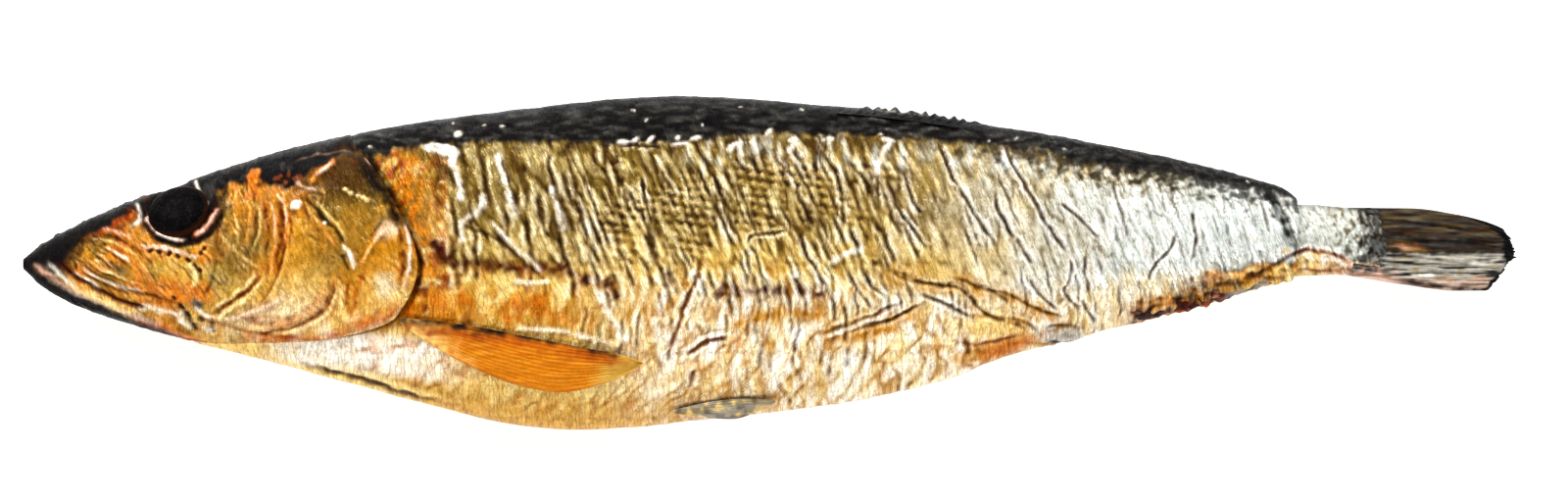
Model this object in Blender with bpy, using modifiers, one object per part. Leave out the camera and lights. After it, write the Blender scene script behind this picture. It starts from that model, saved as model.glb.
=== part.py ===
"""A whole hot-smoked herring that lies on its right side, with its left flank up.

Metres, +Z up. The snout points to -X, the back to +Y and the belly to -Y. The origin is at the
middle of the outline, on the surface that the fish lies on.

A place on the skin is given by its station (millimetres back from the snout), its share of the
depth there (0 at the belly's keel, 1 at the ridge of the back) and its side (1 for the left
flank, which is up, and -1 for the right one). The skin is one loft between sections. Its rows
bend to follow the rear edge of the gill covers, so that their rims are true steps. Eyes and fins
are joined to it, the mouth and two folds are cut into it, and its underside is flat where the
fish lies.
"""

import math

import bmesh
import bpy
from mathutils import Matrix, Vector

MM = 0.001

# Driving sizes, in millimetres
LENGTH = 260.0
GILL_REAR = 69.8
GILL_FRONT = 29.0
COLUMNS = 40
HEAD_ROWS = 20
BODY_ROWS = 44

# Outline and body, as (station, millimetres) from the snout to the end of the tail
BACK_LINE = (
    (0, 0.6),
    (4.5, 3.9),
    (22, 11.9),
    (32, 15.3),
    (47, 19.9),
    (64, 23.5),
    (90, 27.0),
    (113, 28.9),
    (145, 26.8),
    (165, 24.3),
    (190, 20.2),
    (213, 15.0),
    (219, 13.2),
    (223, 10.2),
    (232, 9.6),
    (242, 9.5),
    (250, 8.4),
    (256, 6.6),
    (260, 3.4),
)
BELLY_LINE = (
    (0, -1.0),
    (4, -4.6),
    (10, -7.7),
    (22, -11.6),
    (45, -17.6),
    (70, -24.4),
    (88, -28.4),
    (97, -28.9),
    (125, -26.5),
    (145, -23.9),
    (160, -20.4),
    (172, -15.9),
    (185, -12.6),
    (196, -9.6),
    (207, -6.6),
    (218, -3.4),
    (228, -2.1),
    (240, -3.7),
    (250, -4.9),
    (256, -3.6),
    (260, -0.4),
)
HALF_THICKNESS = (
    (0, 0.9),
    (6, 3.2),
    (20, 6.7),
    (40, 9.7),
    (65, 12.2),
    (100, 13.3),
    (140, 12.4),
    (175, 9.2),
    (205, 6.1),
    (218, 5.1),
    (223, 3.9),
    (236, 2.2),
    (246, 1.4),
    (260, 0.8),
)
MIDPLANE_HEIGHT = (
    (0, 10.4),
    (40, 11.6),
    (100, 12.1),
    (150, 11.6),
    (200, 9.4),
    (235, 7.2),
    (260, 5.8),
)

# Section: the widest share of the depth. The keel is sharper than the back.
WIDEST_SHARE = 0.56

# Gill covers: the station of their rear edge at each share of the depth
GILL_EDGE = (
    (0.0, GILL_FRONT),
    (0.08, 39.0),
    (0.19, 55.8),
    (0.31, 66.2),
    (0.49, GILL_REAR),
    (0.76, 64.5),
    (0.9, 60.1),
    (1.0, 57.0),
)
GILL_LIFT = 0.9
GILL_LIFT_LENGTH = 28.0
GILL_GROOVE_DEPTH = 0.7
GILL_GROOVE_WIDTH = 0.5
GILL_FADE_LENGTH = 92.0

# Eyes
EYE_STATION = 27.8
EYE_SHARE = 0.815
EYE_RADII = (5.9, 4.9, 2.4)
EYE_SINK = 1.3

# Fins that lie against the skin: root and tip as (station, share), width and thickness
PECTORAL_ROOT = (66.6, 0.305)
PECTORAL_TIP = (107.5, 0.2)
PECTORAL_WIDTH_SHARE = 0.178
PECTORAL_THICKNESS = 0.9
PELVIC_ROOT = (115.5, 0.085)
PELVIC_TIP = (126.5, 0.01)
PELVIC_WIDTH_SHARE = 0.05
PELVIC_THICKNESS = 0.9
FIN_PROUD = 0.5

# Low fins on the ridge of the back and behind the vent: stations, height and thickness
DORSAL_STATIONS = (143.0, 168.0)
DORSAL_HEIGHT = 1.1
ANAL_STATIONS = (192.0, 210.0)
ANAL_HEIGHT = 1.3
RIDGE_FIN_THICKNESS = 1.5
RIDGE_FIN_ROOT = 2.2

# Grooves, as routes of (station, share) on both sides, and their radius
MOUTH_ROUTE = ((1.0, 0.62), (5.0, 0.42), (11.0, 0.29), (19.0, 0.19), (28.0, 0.145))
BELLY_FOLD_ROUTE = ((132, 0.26), (142, 0.29), (150, 0.345), (158, 0.32), (167, 0.24), (176, 0.13))
SHOULDER_ROUTE = ((71.5, 0.48), (80, 0.47), (90, 0.455), (98, 0.43))
MOUTH_RADIUS = 0.45
FOLD_RADIUS = 0.55


def smooth_line(points, at):
    """The value at a place on a smooth line through (place, value) points, with no overshoot."""
    if at <= points[0][0]:
        return points[0][1]
    if at >= points[-1][0]:
        return points[-1][1]
    index = next(i for i in range(len(points) - 1) if at <= points[i + 1][0])
    gaps = [b[0] - a[0] for a, b in zip(points, points[1:])]
    rises = [(b[1] - a[1]) / gap for a, b, gap in zip(points, points[1:], gaps)]

    def slope(knot):
        if knot == 0:
            return rises[0]
        if knot == len(points) - 1:
            return rises[-1]
        before, after = rises[knot - 1], rises[knot]
        if before * after <= 0:
            return 0.0
        return 2 * before * after / (before + after)

    gap = gaps[index]
    t = (at - points[index][0]) / gap
    start, end = points[index][1], points[index + 1][1]
    return (
        start * (1 + 2 * t) * (1 - t) ** 2
        + slope(index) * gap * t * (1 - t) ** 2
        + end * t * t * (3 - 2 * t)
        + slope(index + 1) * gap * t * t * (t - 1)
    )


def ease(value, low, high):
    """0 below low, 1 above high, and smooth between them."""
    t = min(1.0, max(0.0, (value - low) / (high - low)))
    return t * t * (3 - 2 * t)


def fullness(share):
    """How much of the half thickness the section has at this share of its depth."""
    below = (share / WIDEST_SHARE) ** WIDEST_SHARE
    above = ((1 - share) / (1 - WIDEST_SHARE)) ** (1 - WIDEST_SHARE)
    return below * above


def tail_crease(station, share):
    """The thinner line between the two folded lobes of the tail fin."""
    return 1 - 0.45 * ease(station, 236, 244) * math.exp(-(((share - 0.46) / 0.1) ** 2))


def skin_point(station, share, side, proud=0.0):
    """A point of the skin, in metres, raised from it by proud millimetres."""
    belly = smooth_line(BELLY_LINE, station)
    back = smooth_line(BACK_LINE, station)
    half = smooth_line(HALF_THICKNESS, station) * fullness(share) * tail_crease(station, share)
    x = station - LENGTH / 2
    y = belly + share * (back - belly)
    z = smooth_line(MIDPLANE_HEIGHT, station) + side * (half + proud)
    return Vector((x, y, z)) * MM


def skin_frame(station, share, side, reach=(1.0, 0.02)):
    """The skin's own axes there: along the fish, across it towards the back, and outwards."""
    along = skin_point(station + reach[0], share, side) - skin_point(station - reach[0], share, side)
    across = skin_point(station, share + reach[1], side) - skin_point(station, share - reach[1], side)
    outward = along.cross(across).normalized() * side
    along.normalize()
    return Matrix((along, outward.cross(along), outward)).transposed()


def gill_edge(share):
    return smooth_line(GILL_EDGE, share)


def cover_window(share):
    """1 where the gill cover stands free of the body, 0 at the throat and at the nape."""
    return ease(share, 0.0, 0.08) * (1 - ease(share, 0.84, 0.95))


def cover_lift(station, share):
    """How far the gill cover stands above the body line, growing towards its rear edge."""
    edge = gill_edge(share)
    return GILL_LIFT * cover_window(share) * ease(station, edge - GILL_LIFT_LENGTH, edge)


def collection(name):
    made = bpy.data.collections.new(name)
    bpy.context.scene.collection.children.link(made)
    return made


def skin_material(name, colour, roughness):
    material = bpy.data.materials.new(name)
    material.use_nodes = True
    shader = material.node_tree.nodes["Principled BSDF"]
    shader.inputs["Base Color"].default_value = (*colour, 1)
    shader.inputs["Roughness"].default_value = roughness
    shader.inputs["Metallic"].default_value = 0.0
    return material


def mesh_object(name, bm, folder):
    bmesh.ops.recalc_face_normals(bm, faces=bm.faces[:])
    mesh = bpy.data.meshes.new(name)
    bm.to_mesh(mesh)
    bm.free()
    made = bpy.data.objects.new(name, mesh)
    folder.objects.link(made)
    return made


def as_helper(made):
    """A piece that only joins or cuts the body."""
    made.hide_render = True
    made.display_type = "WIRE"
    return made


def section_places():
    """(share, side) of each column, once round the section from the keel over the left side."""
    turn = 2 * math.pi / COLUMNS
    angles = [column * turn for column in range(COLUMNS)]
    return [((1 - math.cos(a)) / 2, 1 if a <= math.pi else -1) for a in angles]


def row_rules():
    """One function of the share for each row, which gives the row's (station, proud)."""
    rules = []
    for row in range(1, HEAD_ROWS + 1):
        along = (row / HEAD_ROWS) ** 1.15
        rules.append(
            lambda share, along=along: (
                gill_edge(share) * along,
                cover_lift(gill_edge(share) * along, share),
            )
        )
    rules.append(
        lambda share: (
            gill_edge(share) + GILL_GROOVE_WIDTH,
            -GILL_GROOVE_DEPTH * cover_window(share),
        )
    )
    first = GILL_REAR + 3 * GILL_GROOVE_WIDTH
    for row in range(BODY_ROWS + 1):
        nominal = first + (LENGTH - first) * row / BODY_ROWS
        fade = 1 - ease(nominal, first, first + GILL_FADE_LENGTH)
        rules.append(
            lambda share, nominal=nominal, fade=fade: (
                nominal - (GILL_REAR - gill_edge(share)) * fade,
                0.0,
            )
        )
    return rules


def loft_body(folder):
    """The skin from snout to tail, as one loft that is closed at both ends."""
    bm = bmesh.new()
    places = section_places()
    rows = []
    for rule in row_rules():
        ring = []
        for share, side in places:
            station, proud = rule(share)
            ring.append(bm.verts.new(skin_point(station, share, side, proud)))
        rows.append(ring)
    snout = bm.verts.new(skin_point(0, 0.5, 0))
    for column in range(COLUMNS):
        after = (column + 1) % COLUMNS
        bm.faces.new((snout, rows[0][column], rows[0][after]))
        for near, far in zip(rows, rows[1:]):
            bm.faces.new((near[column], far[column], far[after], near[after]))
    bm.faces.new(rows[-1])
    return mesh_object("smoked_fish", bm, folder)


def add_eye(side, folder):
    """A flattened ball in its socket, which bulges a little above the cheek."""
    bm = bmesh.new()
    bmesh.ops.create_uvsphere(bm, u_segments=20, v_segments=12, radius=1)
    bmesh.ops.scale(bm, vec=Vector(EYE_RADII) * MM, verts=bm.verts[:])
    socket = skin_frame(EYE_STATION, EYE_SHARE, side)
    bmesh.ops.rotate(bm, matrix=socket, verts=bm.verts[:])
    centre = skin_point(EYE_STATION, EYE_SHARE, side) - socket.col[2] * EYE_SINK * MM
    bmesh.ops.translate(bm, vec=centre, verts=bm.verts[:])
    return as_helper(mesh_object(f"eye_{side_name(side)}", bm, folder))


def side_name(side):
    return "left" if side > 0 else "right"


def add_flat_fin(name, side, root, tip, width, thickness, folder, steps=12, across=4):
    """A folded fin that lies on the skin: straight front edge, bellied rear edge, thin plate."""
    bm = bmesh.new()
    rows = []
    for step in range(steps + 1):
        along = step / steps
        station = root[0] + along * (tip[0] - root[0])
        front = root[1] + along * (tip[1] - root[1])
        reach = width * (0.12 + 0.88 * math.sin(math.pi * (0.02 + 0.96 * along) ** 0.8))
        row = []
        for strip in range(across + 1):
            share = max(0.004, front - reach * strip / across)
            row.append(bm.verts.new(skin_point(station, share, side, FIN_PROUD)))
        rows.append(row)
    for near, far in zip(rows, rows[1:]):
        for strip in range(across):
            bm.faces.new((near[strip], far[strip], far[strip + 1], near[strip + 1]))
    fin = as_helper(mesh_object(f"{name}_{side_name(side)}", bm, folder))
    plate = fin.modifiers.new("plate", "SOLIDIFY")
    plate.thickness = 2 * thickness * MM
    plate.offset = 0
    return fin


def add_ridge_fin(name, stations, line, share, height, folder, steps=10):
    """A low fin that stands on the ridge of the back or on the keel, folded almost flat."""
    outward = 1 if share > 0.5 else -1
    bm = bmesh.new()
    outline = []
    for step in range(steps + 1):
        along = step / steps
        station = stations[0] + along * (stations[1] - stations[0])
        rise = height * math.sin(math.pi * along) ** 0.5
        level = smooth_line(MIDPLANE_HEIGHT, station)
        edge = smooth_line(line, station)
        outline.append((station, edge - outward * RIDGE_FIN_ROOT, edge + outward * rise, level))
    rings = []
    for station, root, crest, level in outline:
        ring = []
        for y, z in (
            (root, -RIDGE_FIN_THICKNESS / 2),
            (crest, -RIDGE_FIN_THICKNESS / 4),
            (crest, RIDGE_FIN_THICKNESS / 4),
            (root, RIDGE_FIN_THICKNESS / 2),
        ):
            ring.append(bm.verts.new(Vector((station - LENGTH / 2, y, level + z)) * MM))
        rings.append(ring)
    for near, far in zip(rings, rings[1:]):
        for corner in range(4):
            after = (corner + 1) % 4
            bm.faces.new((near[corner], far[corner], far[after], near[after]))
    bm.faces.new(rings[0])
    bm.faces.new(rings[-1])
    return as_helper(mesh_object(name, bm, folder))


def add_groove(name, side, route, radius, folder, steps=14):
    """A round cutter that follows a route on the skin."""
    curve = bpy.data.curves.new(name, "CURVE")
    curve.dimensions = "3D"
    curve.bevel_depth = radius * MM
    curve.bevel_resolution = 1
    curve.use_fill_caps = True
    first, last = route[0][0], route[-1][0]
    line = curve.splines.new("POLY")
    line.points.add(steps)
    for step in range(steps + 1):
        station = first + (last - first) * step / steps
        share = smooth_line(route, station)
        proud = cover_lift(station, share) * (station < gill_edge(share))
        line.points[step].co = (*skin_point(station, share, side, proud), 1)
    guide = bpy.data.objects.new(f"{name}_guide", curve)
    folder.objects.link(guide)
    bpy.context.view_layer.update()
    mesh = bpy.data.meshes.new_from_object(
        guide.evaluated_get(bpy.context.evaluated_depsgraph_get())
    )
    bm = bmesh.new()
    bm.from_mesh(mesh)
    bmesh.ops.remove_doubles(bm, verts=bm.verts[:], dist=0.01 * MM)
    cutter = mesh_object(f"{name}_{side_name(side)}", bm, folder)
    cutter.matrix_world = guide.matrix_world
    bpy.data.objects.remove(guide)
    bpy.data.meshes.remove(mesh)
    return as_helper(cutter)


def add_table(folder):
    """The space under the surface that the fish lies on."""
    bm = bmesh.new()
    bmesh.ops.create_cube(bm, size=1)
    bmesh.ops.scale(bm, vec=Vector((1.4 * LENGTH, LENGTH, 20)) * MM, verts=bm.verts[:])
    bmesh.ops.translate(bm, vec=Vector((0, 0, -10)) * MM, verts=bm.verts[:])
    return as_helper(mesh_object("table_space", bm, folder))


def boolean(body, other, operation):
    modifier = body.modifiers.new(other.name, "BOOLEAN")
    modifier.operation = operation
    modifier.solver = "EXACT"
    modifier.object = other


def main():
    for made in list(bpy.data.objects):
        bpy.data.objects.remove(made)
    parts = collection("Smoked_Fish")
    helpers = collection("Helpers")

    body = loft_body(parts)
    body.data.materials.append(skin_material("smoked_skin", (0.62, 0.42, 0.14), 0.4))
    for side in (1, -1):
        boolean(body, add_eye(side, helpers), "UNION")
        pectoral = add_flat_fin(
            "pectoral_fin",
            side,
            PECTORAL_ROOT,
            PECTORAL_TIP,
            PECTORAL_WIDTH_SHARE,
            PECTORAL_THICKNESS,
            helpers,
        )
        boolean(body, pectoral, "UNION")
        pelvic = add_flat_fin(
            "pelvic_fin",
            side,
            PELVIC_ROOT,
            PELVIC_TIP,
            PELVIC_WIDTH_SHARE,
            PELVIC_THICKNESS,
            helpers,
            steps=6,
            across=2,
        )
        boolean(body, pelvic, "UNION")
    dorsal = add_ridge_fin("dorsal_fin", DORSAL_STATIONS, BACK_LINE, 1, DORSAL_HEIGHT, helpers)
    boolean(body, dorsal, "UNION")
    anal = add_ridge_fin("anal_fin", ANAL_STATIONS, BELLY_LINE, 0, ANAL_HEIGHT, helpers)
    boolean(body, anal, "UNION")
    for side in (1, -1):
        for name, route, radius in (
            ("mouth", MOUTH_ROUTE, MOUTH_RADIUS),
            ("belly_fold", BELLY_FOLD_ROUTE, FOLD_RADIUS),
            ("shoulder_fold", SHOULDER_ROUTE, FOLD_RADIUS),
        ):
            boolean(body, add_groove(name, side, route, radius, helpers), "DIFFERENCE")
    boolean(body, add_table(helpers), "DIFFERENCE")


main()
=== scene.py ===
import math

import bpy
import numpy as np
from bpy.props import FloatProperty, FloatVectorProperty
from bpy.types import Operator, Panel, PropertyGroup
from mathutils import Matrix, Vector


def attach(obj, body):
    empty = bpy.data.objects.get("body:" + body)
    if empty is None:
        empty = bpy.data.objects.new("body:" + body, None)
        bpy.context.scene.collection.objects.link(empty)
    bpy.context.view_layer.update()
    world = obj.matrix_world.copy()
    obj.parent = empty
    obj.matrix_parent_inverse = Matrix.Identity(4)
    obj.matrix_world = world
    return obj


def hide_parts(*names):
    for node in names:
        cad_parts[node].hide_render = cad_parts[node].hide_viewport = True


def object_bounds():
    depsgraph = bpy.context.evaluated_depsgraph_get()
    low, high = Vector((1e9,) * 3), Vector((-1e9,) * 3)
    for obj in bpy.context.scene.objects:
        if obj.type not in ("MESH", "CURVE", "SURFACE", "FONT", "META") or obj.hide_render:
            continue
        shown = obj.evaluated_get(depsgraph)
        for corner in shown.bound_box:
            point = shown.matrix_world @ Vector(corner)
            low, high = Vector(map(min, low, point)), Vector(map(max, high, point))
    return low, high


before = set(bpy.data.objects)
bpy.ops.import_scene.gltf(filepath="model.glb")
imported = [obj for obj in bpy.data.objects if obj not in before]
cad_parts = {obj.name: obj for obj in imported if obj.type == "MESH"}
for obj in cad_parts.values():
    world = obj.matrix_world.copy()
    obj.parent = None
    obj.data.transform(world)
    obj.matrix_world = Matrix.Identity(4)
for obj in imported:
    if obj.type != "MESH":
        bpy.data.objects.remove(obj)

CAD_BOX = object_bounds()

bl_info = {
    "name": "Smoked Herring",
    "version": (1, 0, 0),
    "blender": (4, 5, 0),
    "location": "3D View > Sidebar > Smoked Herring",
    "description": "Builds the looks of a whole hot-smoked herring around its CAD part",
    "category": "Mesh",
}

NODE = "smoked_fish"
BODY = "root"
MM = 0.001

# The body, as in the part's source. Stations are millimetres back from the snout. A share is a
# place on the depth, 0 at the keel and 1 at the ridge of the back. Side 1 is the left flank, up.
LENGTH = 260.0
GILL_REAR = 69.8
WIDEST_SHARE = 0.56
GILL_LIFT = 0.9
GILL_LIFT_LENGTH = 28.0
GILL_FADE_LENGTH = 92.0
BACK_LINE = (
    (0, 0.6), (4.5, 3.9), (22, 11.9), (32, 15.3), (47, 19.9), (64, 23.5), (90, 27.0),
    (113, 28.9), (145, 26.8), (165, 24.3), (190, 20.2), (213, 15.0), (219, 13.2), (223, 10.2),
    (232, 9.6), (242, 9.5), (250, 8.4), (256, 6.6), (260, 3.4),
)
BELLY_LINE = (
    (0, -1.0), (4, -4.6), (10, -7.7), (22, -11.6), (45, -17.6), (70, -24.4), (88, -28.4),
    (97, -28.9), (125, -26.5), (145, -23.9), (160, -20.4), (172, -15.9), (185, -12.6),
    (196, -9.6), (207, -6.6), (218, -3.4), (228, -2.1), (240, -3.7), (250, -4.9), (256, -3.6),
    (260, -0.4),
)
HALF_THICKNESS = (
    (0, 0.9), (6, 3.2), (20, 6.7), (40, 9.7), (65, 12.2), (100, 13.3), (140, 12.4), (175, 9.2),
    (205, 6.1), (218, 5.1), (223, 3.9), (236, 2.2), (246, 1.4), (260, 0.8),
)
MIDPLANE_HEIGHT = (
    (0, 10.4), (40, 11.6), (100, 12.1), (150, 11.6), (200, 9.4), (235, 7.2), (260, 5.8),
)
GILL_EDGE = (
    (0.0, 29.0), (0.08, 39.0), (0.19, 55.8), (0.31, 66.2), (0.49, 69.8), (0.76, 64.5),
    (0.9, 60.1), (1.0, 57.0),
)
EYE_STATION = 27.8
EYE_SHARE = 0.815
EYE_SINK = 1.3
EYE_RADII = (5.7, 4.7, 2.4)  # along the fish, across it and outwards
EYE_RISE = 0.35  # of the ball, towards the back

# The skin of the body ends in a blunt edge at the root of the tail, which stands out of it
SLEEVE_END = 221.6
SLEEVE_BACK = BACK_LINE[:11] + ((213, 15.0), (217, 13.8), (219.5, 12.9), (221.2, 11.7), (222.5, 10.6))
SLEEVE_BELLY = BELLY_LINE[:16] + ((222, -2.8),)
SLEEVE_HALF = HALF_THICKNESS[:10] + ((222, 4.8),)
TAIL_ROOT_BACK = ((205, 12.0), (216, 11.2), (222, 10.5)) + BACK_LINE[14:]
TAIL_ROOT_HALF = ((205, 4.4), (216, 4.2), (223, 3.9)) + HALF_THICKNESS[11:]


def screen(red, green, blue):
    """Linear light from the usual 0 to 255 values of a colour on a screen."""
    values = np.array((red, green, blue)) / 255
    light = np.where(values <= 0.04045, values / 12.92, ((values + 0.055) / 1.055) ** 2.4)
    return tuple(light.tolist())


def pigment(name, description, *shade):
    """A colour that the user may change, given as 0 to 255 for red, green and blue."""
    return FloatVectorProperty(
        name=name,
        description=description,
        subtype="COLOR",
        size=3,
        min=0.0,
        max=1.0,
        default=screen(*shade),
    )


class SmokedHerringColours(PropertyGroup):
    gold: pigment("Gold", "Skin of the middle of the flank", 208, 178, 92)
    olive: pigment("Olive", "Upper flank and gill cover", 134, 114, 56)
    amber: pigment("Amber", "Smoke-stained skin, cheek and fins", 205, 120, 18)
    ochre: pigment("Ochre", "Cheek, snout and lower gill cover", 198, 144, 36)
    rust: pigment("Rust", "Deep orange brown at rims and in folds", 164, 80, 16)
    cream: pigment("Cream", "Lower flank and belly", 240, 210, 138)
    silver: pigment("Silver", "Skin of the rear flank", 233, 241, 239)
    blood: pigment("Blood", "Dark red line along the flank and anal fin", 84, 26, 12)
    smoke: pigment("Smoke black", "Back, snout and eye", 24, 21, 22)
    slate: pigment("Slate", "Lighter blue grey of the back and tail", 78, 78, 76)
    ash: pigment("Ash", "Pale grey of the lower tail lobe and the vent", 166, 163, 155)
    # Glint is painted highlight on raised folds, crests and the black back, and also the pale colour of bare
    # white fat
    glint: pigment("Glint", "Bare white fat and worn crests", 255, 250, 238)
    blush: pigment("Blush", "Pink grey of the jaw, eyelid and rim", 214, 178, 160)
    # Crease is painted shade inside creases, grooves and hollows, and elsewhere also a plain dark brown
    crease: pigment("Crease", "What the skin darkens to inside a crease", 84, 57, 14)


class SmokedHerringShape(PropertyGroup):
    crease_depth: FloatProperty(
        name="Crease depth",
        description="Height of all creases and ridges against the usual one",
        min=0.0,
        max=2.0,
        default=1.0,
        subtype="FACTOR",
    )
    grain_depth: FloatProperty(
        name="Grain depth",
        description="Depth of the finest dried wrinkles",
        min=0.0,
        default=0.00012,
        unit="LENGTH",
        precision=5,
    )
    fin_thickness: FloatProperty(
        name="Fin thickness",
        description="Thickness of the folded fins",
        min=0.0001,
        default=0.0005,
        unit="LENGTH",
        precision=5,
    )
    fin_proud: FloatProperty(
        name="Fin clearance",
        description="How far the folded fins lie above the skin",
        min=0.0,
        default=0.0006,
        unit="LENGTH",
        precision=5,
    )


class SmokedHerringStudio(PropertyGroup):
    key_power: FloatProperty(
        name="Key light",
        description="Power of the soft box at the upper left",
        min=0.0,
        default=7.0,
        unit="POWER",
    )
    fill_power: FloatProperty(
        name="Fill light",
        description="Power of the soft boxes on the other sides",
        min=0.0,
        default=3.4,
        unit="POWER",
    )
    surround: FloatProperty(
        name="Surround",
        description="Strength of the pale light from all around",
        min=0.0,
        default=0.16,
        subtype="FACTOR",
    )
    floor: pigment("Floor", "Plain pale floor", 250, 250, 250)


# Lines, shares and noise


def line(points, at):
    """Values on a smooth line through (place, value) points, with no overshoot."""
    places, values = np.array(points, float).T
    gaps = np.diff(places)
    rises = np.diff(values) / gaps
    before, after = rises[:-1], rises[1:]
    same = before * after > 0
    slopes = np.empty_like(values)
    slopes[0], slopes[-1] = rises[0], rises[-1]
    slopes[1:-1] = np.where(same, 2 * before * after / np.where(same, before + after, 1), 0)
    at = np.clip(at, places[0], places[-1])
    index = np.clip(np.searchsorted(places, at, side="right") - 1, 0, len(gaps) - 1)
    gap = gaps[index]
    t = (at - places[index]) / gap
    return (
        values[index] * (1 + 2 * t) * (1 - t) ** 2
        + slopes[index] * gap * t * (1 - t) ** 2
        + values[index + 1] * t * t * (3 - 2 * t)
        + slopes[index + 1] * gap * t * t * (t - 1)
    )


def ease(value, low, high):
    """0 below low, 1 above high, and smooth between them."""
    t = np.clip((value - low) / (high - low), 0, 1)
    return t * t * (3 - 2 * t)


def fall(value, low, high):
    """1 below low, 0 above high, and smooth between them."""
    return 1 - ease(value, low, high)


def within(value, start, full, wane, end):
    """1 from full to wane, 0 outside start and end, and smooth between them."""
    return ease(value, start, full) * fall(value, wane, end)


def fullness(share):
    """How much of the half thickness the section has at this share of its depth."""
    below = (share / WIDEST_SHARE) ** WIDEST_SHARE
    above = ((1 - share) / (1 - WIDEST_SHARE)) ** (1 - WIDEST_SHARE)
    return below * above


def even_shares(count, depth=55, half=12.5, steps=2000):
    """Shares from keel to ridge that are evenly spaced along the skin of a full section."""
    share = (1 - np.cos(np.linspace(0, math.pi, steps + 1))) / 2
    rise, swell = np.diff(depth * share), np.diff(half * fullness(share))
    length = np.concatenate(((0,), np.cumsum(np.hypot(rise, swell))))
    return np.interp(np.linspace(0, length[-1], count), length, share)


def gill_edge(share):
    """The station where the gill cover ends at this share."""
    return line(GILL_EDGE, share)


def cover_window(share):
    """1 where the gill cover stands free of the body, 0 at the throat and at the nape."""
    return within(share, 0.0, 0.08, 0.84, 0.95)


def cover_lift(station, share):
    """How far the gill cover stands out from the body."""
    edge = gill_edge(share)
    return GILL_LIFT * cover_window(share) * ease(station, edge - GILL_LIFT_LENGTH, edge)


def noise(x, y, seed, period=64):
    """Smooth noise from -1 to 1, with a new swell about every unit."""
    turns = np.random.default_rng(seed).uniform(0, 2 * math.pi, (period, period))
    left, low = np.floor(x).astype(int), np.floor(y).astype(int)
    dx, dy = x - left, y - low
    ex, ey = dx * dx * (3 - 2 * dx), dy * dy * (3 - 2 * dy)

    def pull(right, up):
        turn = turns[(left + right) % period, (low + up) % period]
        return np.cos(turn) * (dx - right) + np.sin(turn) * (dy - up)

    near = pull(0, 0) * (1 - ex) + pull(1, 0) * ex
    far = pull(0, 1) * (1 - ex) + pull(1, 1) * ex
    return 1.5 * (near * (1 - ey) + far * ey)


def layered(x, y, seed, layers=3):
    """Noise with finer and weaker layers on top."""
    return sum(noise(x * 2**n, y * 2**n, seed + n) / 2**n for n in range(layers))


def rounded(route):
    """The points of a route with its corners cut twice."""
    points = np.array(route, float)
    for _ in range(2):
        near, far = points[:-1], points[1:]
        cut = np.stack((0.75 * near + 0.25 * far, 0.25 * near + 0.75 * far), 1)
        points = np.vstack((points[:1], cut.reshape(-1, 2), points[-1:]))
    return points


def blurred(values, passes):
    """Values averaged with their neighbours, again and again."""
    for _ in range(passes):
        for axis in (0, 1):
            values = (np.roll(values, 1, axis) + 2 * values + np.roll(values, -1, axis)) / 4
    return values


WARM_SHADE = (0.20, 0.105, 0.035)  # what is left of the colour in a hollow of the golden skin
COOL_SHADE = (0.20, 0.21, 0.19)  # and in a hollow of the silver skin
SLANT = 0.42  # how far wrinkles and scale rows shift along the fish for each millimetre of level
SLANT_TOP = 30  # the level above which they shift no further


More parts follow.
